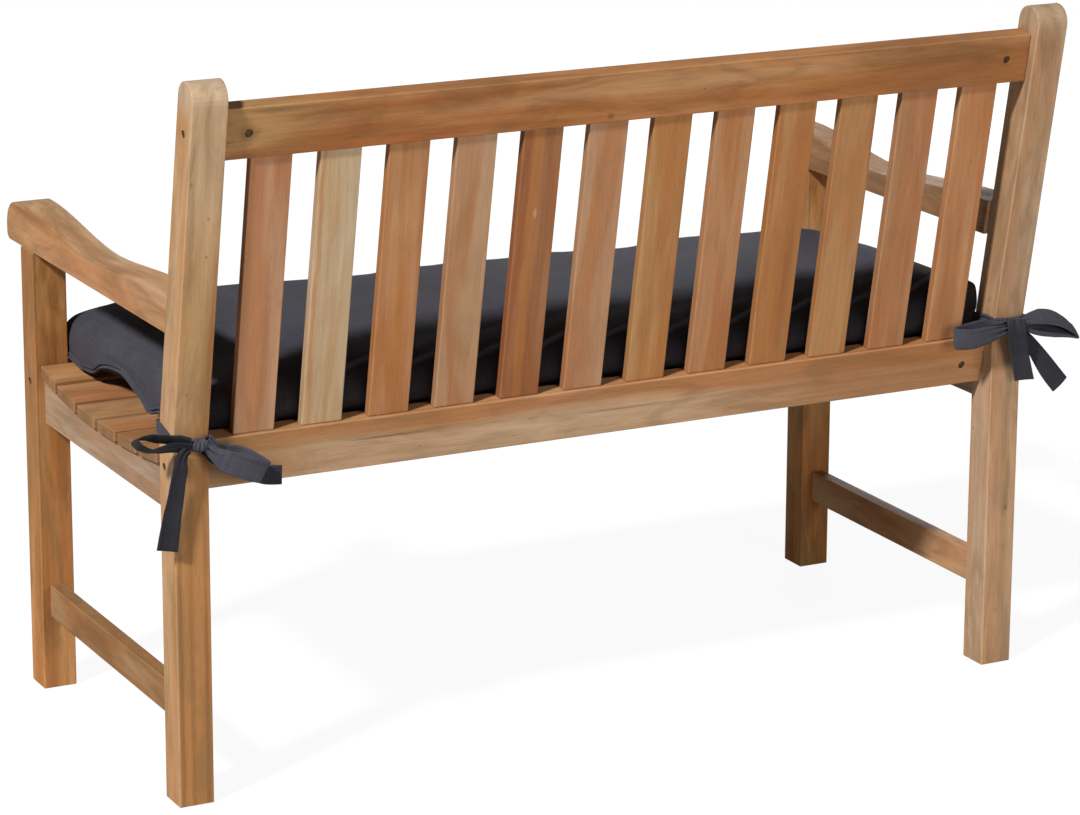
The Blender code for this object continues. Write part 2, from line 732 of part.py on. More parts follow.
def add_right_bow():
    """The bow on the post at -X: one loop lies over the rail, one stands out past the post."""
    knot = RIGHT_KNOT
    add_knot("knot_right", knot)
    add_strip("strap_outer_right", outer_strap(-1, RIGHT_STRAP_Z, knot))
    add_strip("strap_inner_right", inner_strap(-1, RIGHT_STRAP_Z, knot))
    inner_loop = loop_between(
        knot,
        Vector((1, -0.05, 0.20)),
        Vector((1, 0.60, -0.10)),
        Vector((0.05, 0, 1)).normalized(),
        (-0.5530, 0.0150, 0.4710, 0.70),
        (-0.5350, 0.0090, 0.4700, 0.95),
        (-0.5120, 0.0060, 0.4660, 1.00),
        (-0.4895, 0.0115, 0.4635, 1.00),
        (-0.5120, 0.0190, 0.4620, 0.95),
        (-0.5350, 0.0225, 0.4660, 0.80),
        (-0.5530, 0.0225, 0.4690, 0.55),
    )
    add_strip("loop_inner_right", inner_loop)
    outer_loop = loop_between(
        knot,
        Vector((-1, 0.30, 0.45)),
        Vector((-1, 0.30, -0.35)),
        Vector((0, 0.80, -0.60)),
        (-0.6080, 0.0190, 0.4800, 0.75),
        (-0.6250, 0.0180, 0.4795, 0.95),
        (-0.6480, 0.0165, 0.4720, 1.00),
        (-0.6680, 0.0160, 0.4590, 0.90),
        (-0.6745, 0.0160, 0.4530, 0.85),
        (-0.6550, 0.0160, 0.4570, 0.90),
        (-0.6300, 0.0175, 0.4610, 0.90),
        (-0.6080, 0.0190, 0.4640, 0.70),
    )
    add_strip("loop_outer_right", outer_loop)
    level = Vector((1, 0, 0.12)).normalized()
    hanging = [leaving(knot, Vector((0, 0.10, -1)), level, 0.55)]
    hanging += stations(
        level,
        (-0.5870, 0.0150, 0.4460, 0.85),
        (-0.5940, 0.0140, 0.4210, 1.00),
        (-0.5995, 0.0140, 0.3950, 1.08),
    )
    add_strip("tail_hanging_right", hanging)
    aslant = Vector((-0.776, 0, 0.63))
    slanting = [leaving(knot, Vector((-0.80, -0.45, -0.70)), aslant)]
    slanting += stations(
        aslant,
        (-0.6110, 0.0080, 0.4410, 0.65),
        (-0.6350, 0.0090, 0.4090, 0.92),
        (-0.6585, 0.0100, 0.3805, 0.97),
    )
    add_strip("tail_slanting_right", slanting)


def centre_on_floor():
    """Moves every mesh so that the origin is the bottom centre of the bounding box."""
    bpy.context.view_layer.update()
    made = [obj for obj in bpy.data.objects if not obj.hide_render]
    low = [min(v.co[k] for obj in made for v in obj.data.vertices) for k in range(3)]
    high = [max(v.co[k] for obj in made for v in obj.data.vertices) for k in range(3)]
    shift = Vector((-(low[0] + high[0]) / 2, -(low[1] + high[1]) / 2, -low[2]))
    for obj in bpy.data.objects:
        for vertex in obj.data.vertices:
            vertex.co += shift


def main():
    clear_scene()
    add_side(1, "left")
    add_side(-1, "right")
    add_back()
    add_seat()
    add_cushion()
    add_left_bow()
    add_right_bow()
    centre_on_floor()


main()
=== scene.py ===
"""Looks for a charcoal bench cushion tied on a plain teak garden bench.

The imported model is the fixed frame. The boards keep their CAD shapes and get a finish each.
The cushion, its ties and their knots are built again here as soft goods. All sizes are in metres.
"""

from __future__ import annotations

import logging
import math
from dataclasses import dataclass, field
from enum import Enum
from typing import Sequence

import bpy
import numpy as np
from mathutils import Matrix, Vector


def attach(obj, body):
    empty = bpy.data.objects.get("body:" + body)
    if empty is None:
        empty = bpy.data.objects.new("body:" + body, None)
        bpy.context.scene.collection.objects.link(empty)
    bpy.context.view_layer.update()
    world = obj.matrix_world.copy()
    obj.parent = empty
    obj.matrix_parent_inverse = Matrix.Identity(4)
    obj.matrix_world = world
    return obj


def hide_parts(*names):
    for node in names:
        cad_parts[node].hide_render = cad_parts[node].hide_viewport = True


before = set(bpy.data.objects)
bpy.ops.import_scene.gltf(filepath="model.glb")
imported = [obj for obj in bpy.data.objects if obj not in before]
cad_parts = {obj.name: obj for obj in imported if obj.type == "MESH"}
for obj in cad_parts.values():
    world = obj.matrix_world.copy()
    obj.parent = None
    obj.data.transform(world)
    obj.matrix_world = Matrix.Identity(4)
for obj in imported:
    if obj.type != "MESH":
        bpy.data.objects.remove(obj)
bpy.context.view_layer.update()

log = logging.getLogger("bench")

# From the measured frame (legs at x 0.6 either way, rear legs' rear faces at y 0) to the model's.
SHIFT = Vector((0.009466, 0.243419, 0.0))
BODY = "root"
RAKE = math.radians(10.8)
KNEE_Z = 0.460
LEG = 0.045
OUTER_X = 0.600
GAP = 0.0003

Colour = tuple[float, float, float]
Triple = tuple[float, float, float]
Socket = bpy.types.NodeSocket
Faces = Sequence[Sequence[int]]


# ---------------------------------------------------------------- node helpers


class NodeSheet:
    """Adds nodes to one node tree and joins them."""

    def __init__(self, tree: bpy.types.NodeTree) -> None:
        """Keeps the tree that the nodes go into."""
        self.tree = tree

    def add(self, kind: str, **settings: object) -> bpy.types.Node:
        """Adds one node.

        Args:
            kind: The node's type name.
            settings: Attributes to set on it.

        Returns:
            The new node.
        """
        node = self.tree.nodes.new(kind)
        for name, value in settings.items():
            setattr(node, name, value)
        return node

    def feed(self, socket: Socket, value: object) -> None:
        """Links a socket to an input, or sets the input to a plain value.

        Args:
            socket: The input.
            value: An output to link, or a number, or a colour or vector.
        """
        if isinstance(value, bpy.types.NodeSocket):
            self.tree.links.new(value, socket)
        elif (
            isinstance(value, (tuple, list)) and len(value) == 3 and len(socket.default_value) == 4
        ):
            socket.default_value = (*value, 1.0)
        else:
            socket.default_value = value

    def math(
        self, operation: str, first: object, second: object = 0.0, clamp: bool = False
    ) -> Socket:
        """Adds a Math node.

        Args:
            operation: What it does.
            first: Its first value, a socket or a number.
            second: Its second value.
            clamp: Whether the result stays from 0 to 1.

        Returns:
            Its output.
        """
        node = self.add("ShaderNodeMath", operation=operation, use_clamp=clamp)
        self.feed(node.inputs[0], first)
        self.feed(node.inputs[1], second)
        return node.outputs[0]

    def vector(self, operation: str, first: object, second: object = (0.0, 0.0, 0.0)) -> Socket:
        """Adds a Vector Math node.

        Args:
            operation: What it does.
            first: Its first vector.
            second: Its second vector.

        Returns:
            Its vector output.
        """
        node = self.add("ShaderNodeVectorMath", operation=operation)
        self.feed(node.inputs[0], first)
        self.feed(node.inputs[1], second)
        return node.outputs["Vector"]

    def drawn_out(self, vector: object, along: float) -> Socket:
        """Returns a vector with its X cut to that share, which draws a texture out along X."""
        return self.vector("MULTIPLY", vector, (along, 1.0, 1.0))

    def split(self, vector: Socket) -> Sequence[Socket]:
        """Takes a vector apart.

        Args:
            vector: The vector.

        Returns:
            Its X, Y and Z outputs.
        """
        node = self.add("ShaderNodeSeparateXYZ")
        self.feed(node.inputs[0], vector)
        return node.outputs

    def join(self, x: object, y: object, z: object) -> Socket:
        """Makes a vector of three values.

        Args:
            x: Its first value or socket.
            y: Its second one.
            z: Its third one.

        Returns:
            The vector's output.
        """
        node = self.add("ShaderNodeCombineXYZ")
        for socket, value in zip(node.inputs, (x, y, z)):
            self.feed(socket, value)
        return node.outputs[0]

    def step(
        self, value: object, low: object, high: object, to: tuple[float, float] = (0.0, 1.0)
    ) -> Socket:
        """Eases a value from one range onto another.

        Args:
            value: The value.
            low: Where it starts to count.
            high: Where it stops.
            to: What comes out at those two.

        Returns:
            The eased value.
        """
        node = self.add("ShaderNodeMapRange", interpolation_type="SMOOTHSTEP")
        for index, part in enumerate((value, low, high, *to)):
            self.feed(node.inputs[index], part)
        return node.outputs[0]

    def mix(self, share: object, first: object, second: object, blend: str = "MIX") -> Socket:
        """Mixes two colours.

        Args:
            share: How much of the second one.
            first: The first colour.
            second: The second colour.
            blend: How they mix.

        Returns:
            The mixed colour.
        """
        node = self.add("ShaderNodeMix", data_type="RGBA", blend_type=blend, clamp_factor=True)
        self.feed(node.inputs[0], share)
        self.feed(node.inputs[6], first)
        self.feed(node.inputs[7], second)
        return node.outputs[2]

    def scaled(self, colour: Socket, factor: Socket) -> Socket:
        """Returns a colour times a factor."""
        return self.mix(1.0, colour, self.join(factor, factor, factor), "MULTIPLY")

    def noise(
        self,
        vector: object,
        scale: float,
        detail: float = 2.0,
        rough: float = 0.5,
        distortion: float = 0.0,
    ) -> Socket:
        """Adds a noise texture.

        Args:
            vector: Where it is read.
            scale: Its scale.
            detail: Its detail.
            rough: Its roughness.
            distortion: How far it is distorted.

        Returns:
            Its value.
        """
        node = self.add("ShaderNodeTexNoise")
        node.inputs["Distortion"].default_value = distortion
        self.feed(node.inputs["Vector"], vector)
        node.inputs["Scale"].default_value = scale
        node.inputs["Detail"].default_value = detail
        node.inputs["Roughness"].default_value = rough
        return node.outputs["Fac"]

    def bump(self, shader: bpy.types.Node, height: Socket, strength: float, depth: float) -> None:
        """Roughens a shader's surface.

        Args:
            shader: The Principled shader.
            height: The height that varies over the surface.
            strength: How strong it is.
            depth: How deep it goes.
        """
        node = self.add("ShaderNodeBump")
        node.inputs["Strength"].default_value = strength
        node.inputs["Distance"].default_value = depth
        self.feed(node.inputs["Height"], height)
        self.feed(shader.inputs["Normal"], node.outputs["Normal"])

    def group(self, tree: bpy.types.NodeTree, **values: object) -> bpy.types.Node:
        """Places a shared group.

        Args:
            tree: The group's tree.
            values: Its inputs, with underscores for spaces.

        Returns:
            The group node.
        """
        node = self.add("ShaderNodeGroup", node_tree=tree)
        for name, value in values.items():
            self.feed(node.inputs[name.replace("_", " ")], value)
        return node


def new_group(
    name: str, inputs: Sequence[tuple[str, str]], outputs: Sequence[str]
) -> tuple[NodeSheet, bpy.types.Node, bpy.types.Node]:
    """Makes an empty shared node group.

    Args:
        name: Its name.
        inputs: Name and kind ("VECTOR" or "FLOAT") of each input.
        outputs: Name of each value that it puts out.

    Returns:
        The node sheet, the group's input node and its output node.
    """
    kinds = {"VECTOR": "NodeSocketVector", "FLOAT": "NodeSocketFloat"}
    tree = bpy.data.node_groups.new(name, "ShaderNodeTree")
    for label, kind in inputs:
        tree.interface.new_socket(label, in_out="INPUT", socket_type=kinds[kind])
    for label in outputs:
        tree.interface.new_socket(label, in_out="OUTPUT", socket_type="NodeSocketFloat")
    sheet = NodeSheet(tree)
    return sheet, sheet.add("NodeGroupInput"), sheet.add("NodeGroupOutput")


def new_material(name: str) -> tuple[bpy.types.Material, NodeSheet, bpy.types.Node]:
    """Makes a material with one Principled shader.

    Args:
        name: Its name.

    Returns:
        The material, its node sheet and its shader.
    """
    material = bpy.data.materials.new(name)
    material.use_nodes = True
    sheet = NodeSheet(material.node_tree)
    shader = material.node_tree.nodes["Principled BSDF"]
    return material, sheet, shader


def wear(node: bpy.types.Object, material: bpy.types.Material) -> None:
    """Makes a material the only one of a CAD node."""
    node.data.materials.clear()
    node.data.materials.append(material)


# ---------------------------------------------------------------- shared effects


@dataclass(frozen=True)
class GrainLayer:
    """One noise of the wood figure: how far it is drawn out along the grain, and its texture."""

    along: float
    scale: float
    detail: float
    rough: float = 0.5
    distortion: float = 0.0
    shifted: bool = False


class SharedEffects:
    """The node groups that more than one material uses, built once."""

    LAYERS = {
        "Flames": GrainLayer(0.12, 27.0, 2.5, 0.5, 0.7),
        "Tongues": GrainLayer(0.07, 52.0, 3.0, 0.55, 0.5, shifted=True),
        "Streaks": GrainLayer(0.035, 95.0, 4.0, 0.62),
        "Fibre": GrainLayer(0.03, 520.0, 3.0, 0.7),
        "Patches": GrainLayer(0.35, 11.0, 2.0),
        "Mottle": GrainLayer(0.24, 30.0, 4.0, 0.6, 1.1, shifted=True),
        "Lines": GrainLayer(0.018, 230.0, 2.0, 0.6, shifted=True),
    }
    WARP = GrainLayer(0.16, 9.0, 3.0, 0.55)
    PORES = GrainLayer(0.09, 900.0, 1.0)
    SEED_STEPS = (1.37, 0.83, 2.11)
    LAYER_SHIFT = (3.7, 1.9, 5.3)
    RING_SCALE = 760.0
    RING_WARP = 19.0
    RING_SHARPNESS = 2.2
    PITH_SLOPE = 0.10
    BAND_WANDER = 0.022
    DOT_SCALE = 46.0
    SLUB_SCALE = 700.0
    SLUB_STRETCH = 0.04

    def __init__(self) -> None:
        """Builds all the groups."""
        self.figure = self._figure()
        self.edges = self._edges()
        self.band = self._band()
        self.patch = self._patch()
        self.weave = self._weave()

    @staticmethod
    def _layer(sheet: NodeSheet, at: Socket, layer: GrainLayer) -> Socket:
        """Returns the value of one grain noise at a point."""
        vector = sheet.drawn_out(at, layer.along)
        return sheet.noise(vector, layer.scale, layer.detail, layer.rough, layer.distortion)

    def _figure(self) -> bpy.types.NodeTree:
        """Wood figure for a board whose grain runs along X, from broad flames to fine fibre.

        Returns:
            The node group.
        """
        inputs = (("Vector", "VECTOR"), ("Seed", "FLOAT"), ("Pith", "VECTOR"))
        outputs = ("Rings", "Pores", "Dots", "Height", *self.LAYERS)
        sheet, given, out = new_group("teak figure", inputs, outputs)
        away = sheet.join(
            *(sheet.math("MULTIPLY", given.outputs["Seed"], step) for step in self.SEED_STEPS)
        )
        at = sheet.vector("ADD", given.outputs["Vector"], away)
        further = sheet.vector("ADD", at, self.LAYER_SHIFT)
        values = {
            label: self._layer(sheet, further if layer.shifted else at, layer)
            for label, layer in self.LAYERS.items()
        }
        values["Rings"] = self._rings(sheet, given, at)
        values["Pores"] = sheet.step(self._layer(sheet, at, self.PORES), 0.62, 0.74)
        values["Dots"] = self._dots(sheet, at)
        dents = sheet.math("MULTIPLY", values["Pores"], 0.8)
        height = sheet.math("SUBTRACT", values["Fibre"], dents)
        values["Height"] = sheet.math(
            "SUBTRACT", height, sheet.math("MULTIPLY", values["Rings"], 0.25)
        )
        for label, value in values.items():
            sheet.feed(out.inputs[label], value)
        return sheet.tree

    def _rings(self, sheet: NodeSheet, given: bpy.types.Node, at: Socket) -> Socket:
        """Makes the growth rings round the pith, which the board is cut across.

        Args:
            sheet: The group's nodes.
            given: The group's input node.
            at: The point, moved by the board's seed.

        Returns:
            How near a point is to a ring.
        """
        warp = self._layer(sheet, at, self.WARP)
        lateral = sheet.vector("SUBTRACT", given.outputs["Vector"], given.outputs["Pith"])
        _, side, deep = sheet.split(lateral)
        slope = sheet.noise(sheet.vector("MULTIPLY", at, (1.0, 0.2, 0.2)), 1.6, 1.0)
        side = sheet.math("ADD", side, sheet.math("MULTIPLY", slope, self.PITH_SLOPE))
        squares = (sheet.math("MULTIPLY", side, side), sheet.math("MULTIPLY", deep, deep))
        radius = sheet.math("SQRT", sheet.math("ADD", *squares))
        turns = sheet.math("MULTIPLY", radius, self.RING_SCALE)
        turns = sheet.math("ADD", turns, sheet.math("MULTIPLY", warp, self.RING_WARP))
        rings = sheet.math("MULTIPLY_ADD", sheet.math("SINE", turns), 0.5)
        rings.node.inputs[2].default_value = 0.5
        return sheet.math("POWER", rings, self.RING_SHARPNESS)

    def _dots(self, sheet: NodeSheet, at: Socket) -> Socket:
        """Makes the few small dark specks of a board.

        Args:
            sheet: The group's nodes.
            at: The point, moved by the board's seed.

        Returns:
            1 on a speck and 0 off it.
        """
        cells = sheet.add("ShaderNodeTexVoronoi")
        sheet.feed(cells.inputs["Vector"], sheet.drawn_out(at, 0.6))
        cells.inputs["Scale"].default_value = self.DOT_SCALE
        speck = sheet.step(cells.outputs["Distance"], 0.10, 0.03)
        chosen = sheet.step(sheet.split(cells.outputs["Color"])[0], 0.80, 0.84)
        return sheet.math("MULTIPLY", speck, chosen)

    def _edges(self) -> bpy.types.NodeTree:
        """How near a point of a board is to its long edges, broken up by noise.

        Returns:
            The node group.
        """
        inputs = (("Vector", "VECTOR"), ("Half", "VECTOR"), ("Reach", "FLOAT"))
        sheet, given, out = new_group("board edges", inputs, ("Edge",))
        out_by = sheet.vector(
            "SUBTRACT", sheet.vector("ABSOLUTE", given.outputs["Vector"]), given.outputs["Half"]
        )
        a, b, c = sheet.split(out_by)
        low = sheet.math("MINIMUM", a, b)
        high = sheet.math("MAXIMUM", a, b)
        middle = sheet.math("MAXIMUM", low, sheet.math("MINIMUM", high, c))
        rough = sheet.noise(given.outputs["Vector"], 60.0, 3.0, 0.6)
        reach = sheet.math("MULTIPLY", given.outputs["Reach"], rough)
        near = sheet.math("ADD", sheet.math("DIVIDE", middle, reach), 1.0, clamp=True)
        sheet.feed(out.inputs["Edge"], near)
        return sheet.tree

    def _band(self) -> bpy.types.NodeTree:
        """A long soft band across a board, such as its darker heart or a pale strip of sapwood.

        Returns:
            The node group.
        """
        numbers = ("Place", "Tilt", "Width", "Soft")
        inputs = (("Vector", "VECTOR"), *((label, "FLOAT") for label in numbers))
        sheet, given, out = new_group("figure band", inputs, ("Band",))
        along, across, _ = sheet.split(given.outputs["Vector"])
        long_way = sheet.drawn_out(given.outputs["Vector"], 0.22)
        wander = sheet.math("SUBTRACT", sheet.noise(long_way, 26.0, 3.0, 0.6), 0.5)
        line = sheet.math("SUBTRACT", across, given.outputs["Place"])
        line = sheet.math("SUBTRACT", line, sheet.math("MULTIPLY", along, given.outputs["Tilt"]))
        line = sheet.math("ADD", line, sheet.math("MULTIPLY", wander, self.BAND_WANDER))
        off = sheet.math("SUBTRACT", sheet.math("ABSOLUTE", line), given.outputs["Width"])
        share = sheet.math("DIVIDE", off, given.outputs["Soft"])
        sheet.feed(out.inputs["Band"], sheet.step(share, 1.0, 0.0))
        return sheet.tree

    def _patch(self) -> bpy.types.NodeTree:
        """A soft rounded patch inside a board, such as a knot, a flame or a pale end.

        Returns:
            The node group.
        """
        places = (("Vector", "VECTOR"), ("Centre", "VECTOR"), ("Radii", "VECTOR"))
        inputs = (*places, ("Soft", "FLOAT"))
        sheet, given, out = new_group("figure patch", inputs, ("Patch",))
        spoke = sheet.vector("SUBTRACT", given.outputs["Vector"], given.outputs["Centre"])
        spoke = sheet.vector("DIVIDE", spoke, given.outputs["Radii"])
        far = sheet.add("ShaderNodeVectorMath", operation="LENGTH")
        sheet.feed(far.inputs[0], spoke)
        long_way = sheet.drawn_out(given.outputs["Vector"], 0.15)
        ragged = sheet.math("SUBTRACT", sheet.noise(long_way, 60.0, 3.0, 0.6), 0.5)
        share = sheet.math(
            "ADD", far.outputs["Value"], sheet.math("MULTIPLY", ragged, given.outputs["Soft"])
        )
        outer = sheet.math("ADD", 1.0, given.outputs["Soft"])
        inner = sheet.math("SUBTRACT", 1.0, given.outputs["Soft"])
        sheet.feed(out.inputs["Patch"], sheet.step(share, outer, inner))
        return sheet.tree

    def _weave(self) -> bpy.types.NodeTree:
        """Plain weave: threads over and under one another, with thicker slubs.

        Returns:
            The node group.
        """
        inputs = (("Vector", "VECTOR"), ("Pitch", "FLOAT"))
        sheet, given, out = new_group("plain weave", inputs, ("Threads", "Slubs"))
        turns = sheet.math("DIVIDE", 2 * math.pi, given.outputs["Pitch"])
        x, y, _ = sheet.split(given.outputs["Vector"])
        wave_x = sheet.math("SINE", sheet.math("MULTIPLY", x, turns))
        wave_y = sheet.math("SINE", sheet.math("MULTIPLY", y, turns))
        threads = sheet.math("MULTIPLY", wave_x, wave_y)
        thin = self.SLUB_STRETCH
        warp, weft = (
            sheet.noise(sheet.vector("MULTIPLY", given.outputs["Vector"], way), self.SLUB_SCALE)
            for way in ((1.0, thin, thin), (thin, 1.0, thin))
        )
        slubs = sheet.math("MULTIPLY", sheet.math("ADD", warp, weft), 0.5)
        sheet.feed(out.inputs["Threads"], threads)
        sheet.feed(out.inputs["Slubs"], slubs)
        return sheet.tree


# ---------------------------------------------------------------- wood


class Grain(Enum):
    """Which way a board's grain runs. The value is the board's own X, Y and Z in the model."""

    LENGTHWISE = ((1, 0, 0), (0, 0, 1), (0, -1, 0))
    SEATWISE = ((1, 0, 0), (0, 1, 0), (0, 0, 1))
    FORWARD = ((0, 1, 0), (0, 0, 1), (1, 0, 0))
    ARM = ((0, 1, 0), (1, 0, 0), (0, 0, -1))
    POST = ((0, 0, 1), (1, 0, 0), (0, 1, 0))
    LEANING = (
        (0, math.sin(RAKE), math.cos(RAKE)),
        (1, 0, 0),
        (0, math.cos(RAKE), -math.sin(RAKE)),
    )
    RAIL = (
        (1, 0, 0),
        (0, math.sin(RAKE), math.cos(RAKE)),
        (0, -math.cos(RAKE), math.sin(RAKE)),
    )


@dataclass(frozen=True)
class Band:
    """A long band of another tone on a board, measured from the board's middle line."""

    place: float
    width: float
    soft: float
    amount: float
    colour: Colour
    tilt: float = 0.0


@dataclass(frozen=True)
class Patch:
    """A soft patch of another tone, by its centre and radii in the board's own axes."""

    centre: Triple
    radii: Triple
    soft: float
    amount: float
    colour: Colour


@dataclass(frozen=True)
class Teak:
    """The finish of one board: its tone, how strong its figure is, and what is special to it."""

    grain: Grain
    seed: float
    red: float = 0.4
    pale: float = 0.3
    orange: float = 0.35
    rings: float = 0.14
    streaks: float = 0.55
    mottle: float = 0.16
    tint: Colour = (1.0, 1.0, 1.0)
    pith: tuple[float, float] = (0.10, 0.06)
    bands: tuple[Band, ...] = ()
    patches: tuple[Patch, ...] = ()
    smoke: float = 0.25
    # How much painted shade darkens the board's two side faces.
    flank: float = 0.0

    HONEY = (0.500, 0.258, 0.105)
    ROSY = (0.460, 0.200, 0.084)
    PALE = (0.570, 0.365, 0.195)
    ORANGE = (0.480, 0.190, 0.050)
    DARK = (0.240, 0.095, 0.035)
    # Pale tone of the long edges: partly wear, partly a painted highlight.
    WORN_AND_HIGHLIT = (0.600, 0.390, 0.220)
    SMOKE = (0.370, 0.218, 0.090)
    SHADE = 0.80
    ROUGHNESS = (0.58, 0.72)
    SPECULAR = 0.14
    RELIEF = (0.45, 0.0006)
    PATCH_CONTRAST = 1.7
    STREAK_DEPTH = 0.34
    LINE_DEPTH = 0.30
    PORE_DEPTH = 0.14
    DOT_DEPTH = 0.65
    FIBRE_RANGE = (0.955, 1.04)
    # Where the painted shade of the side faces fades in, measured in from each face.
    PAINTED_SHADE_FLANK_EDGE = (-0.0016, -0.0004)
    EDGE_REACH = 0.0045
    # How far the long edges lighten: partly wear, partly a painted highlight.
    EDGE_WEAR_AND_HIGHLIGHT = 0.22

    def tone(self, colour: Colour) -> Colour:
        """Returns a colour of the palette in this board's own tint."""
        return tuple(min(part * own, 1.0) for part, own in zip(colour, self.tint))

    def dress(self, board: bpy.types.Object, effects: SharedEffects) -> None:
        """Makes the finish and puts it on a board.

        Args:
            board: The CAD node.
            effects: The shared groups.
        """
        material, sheet, shader = new_material(f"teak {board.name}")
        axes = Matrix(self.grain.value)
        middle, half = self._box(board, axes)
        mapping = sheet.add("ShaderNodeMapping")
        sheet.feed(mapping.inputs["Vector"], self._place(sheet))
        mapping.inputs["Rotation"].default_value = axes.to_euler("XYZ")
        mapping.inputs["Location"].default_value = -middle
        at = mapping.outputs[0]
        figure = sheet.group(
            effects.figure, Vector=at, Seed=self.seed, Pith=(0.0, *self.pith)
        ).outputs
        sheet.feed(shader.inputs["Base Color"], self._colour(sheet, figure, at, half, effects))
        roughness = sheet.step(figure["Streaks"], 0.25, 0.75, self.ROUGHNESS)
        sheet.feed(shader.inputs["Roughness"], roughness)
        shader.inputs["Specular IOR Level"].default_value = self.SPECULAR
        sheet.bump(shader, figure["Height"], *self.RELIEF)
        wear(board, material)

    def _box(self, board: bpy.types.Object, axes: Matrix) -> tuple[Vector, Vector]:
        """Measures a board in its own axes, a post as if it had no knee.

        Args:
            board: The CAD node.
            axes: The board's own X, Y and Z.

        Returns:
            Its middle and its half sizes.
        """
        points = np.array([v.co[:] for v in board.data.vertices])
        if self.grain is Grain.POST:
            points[:, 1] -= np.maximum(points[:, 2] - KNEE_Z, 0) * math.tan(RAKE)
        own = points @ np.array(axes).T
        high, low = own.max(axis=0), own.min(axis=0)
        return Vector((high + low) / 2), Vector((high - low) / 2)

    def _place(self, sheet: NodeSheet) -> Socket:
        """Gives the point that the figure is read at.

        Args:
            sheet: The material's nodes.

        Returns:
            The point, on a post moved back to where it would be without the knee.
        """
        place = sheet.add("ShaderNodeTexCoord").outputs["Object"]
        if self.grain is not Grain.POST:
            return place
        x, y, z = sheet.split(place)
        above = sheet.math("MAXIMUM", sheet.math("SUBTRACT", z, KNEE_Z), 0.0)
        back = sheet.math("MULTIPLY", above, math.tan(RAKE))
        return sheet.join(x, sheet.math("SUBTRACT", y, back), z)

    def _colour(
        self,
        sheet: NodeSheet,
        figure: bpy.types.NodeOutputs,
        at: Socket,
        half: Vector,
        effects: SharedEffects,
    ) -> Socket:
        """Builds the board's colour from its figure, with painted shade on its sides and a painted
        highlight with wear on its edges.

        Args:
            sheet: The material's nodes.
            figure: Outputs of the figure group.
            at: The point in the board's own axes.
            half: The board's half sizes.
            effects: The shared groups.

        Returns:
            The colour.
        """
        tone = self._grown(sheet, figure)
        tone = self._marked(sheet, figure, at, tone, effects)
        dark = self.tone(self.DARK)
        if self.smoke:
            grey = sheet.step(figure["Mottle"], 0.50, 0.34, (0.0, self.smoke))
            tone = sheet.mix(grey, tone, self.tone(self.SMOKE))
        lined = sheet.step(figure["Lines"], 0.56, 0.74, (0.0, self.LINE_DEPTH * self.streaks))
        tone = sheet.mix(lined, tone, dark)
        # Painted shade: the two side faces darken towards the dark tone.
        if self.flank:
            off = sheet.math("SUBTRACT", sheet.math("ABSOLUTE", sheet.split(at)[1]), half[1])
            tone = sheet.mix(sheet.step(off, *self.PAINTED_SHADE_FLANK_EDGE, (0.0, self.flank)), tone, dark)
        fibre = tuple(end * self.SHADE for end in self.FIBRE_RANGE)
        mottled = (1.0 - self.mottle, 1.0 + 0.6 * self.mottle)
        fine = sheet.step(figure["Fibre"], 0.30, 0.70, fibre)
        broad = sheet.step(figure["Mottle"], 0.30, 0.70, mottled)
        tone = sheet.scaled(tone, sheet.math("MULTIPLY", fine, broad))
        for spots, depth in (("Pores", self.PORE_DEPTH), ("Dots", self.DOT_DEPTH)):
            tone = sheet.mix(sheet.math("MULTIPLY", figure[spots], depth), tone, dark)
        # Lighter long edges: partly wear, partly a painted highlight.
        edge = sheet.group(
            effects.edges, Vector=at, Half=tuple(half), Reach=self.EDGE_REACH
        ).outputs[0]
        worn = sheet.math("MULTIPLY", edge, self.EDGE_WEAR_AND_HIGHLIGHT)
        return sheet.mix(worn, tone, self.tone(self.WORN_AND_HIGHLIT))

    def _grown(self, sheet: NodeSheet, figure: bpy.types.NodeOutputs) -> Socket:
        """Mixes the palette as the board grew: rosy and pale parts, tongues, streaks and rings.

        Args:
            sheet: The material's nodes.
            figure: Outputs of the figure group.

        Returns:
            The colour.
        """
        honey, rosy, pale, orange, dark = (
            self.tone(c) for c in (self.HONEY, self.ROSY, self.PALE, self.ORANGE, self.DARK)
        )
        contrast = self.PATCH_CONTRAST
        red = sheet.math("MULTIPLY", figure["Patches"], contrast)
        red = sheet.math("ADD", red, self.red - contrast / 2)
        tone = sheet.mix(red, honey, rosy)
        paler = sheet.step(figure["Flames"], 0.36, 0.66, (self.pale - 0.32, self.pale + 0.42))
        tone = sheet.mix(paler, tone, pale)
        warm = sheet.step(figure["Tongues"], 0.52, 0.70, (0.0, self.orange))
        tone = sheet.mix(warm, tone, orange)
        depth = self.STREAK_DEPTH * self.streaks
        tone = sheet.mix(sheet.step(figure["Streaks"], 0.50, 0.24, (0.0, depth)), tone, dark)
        ringed = sheet.math("MULTIPLY", figure["Rings"], self.rings)
        return sheet.mix(sheet.math("MULTIPLY", ringed, figure["Flames"]), tone, dark)

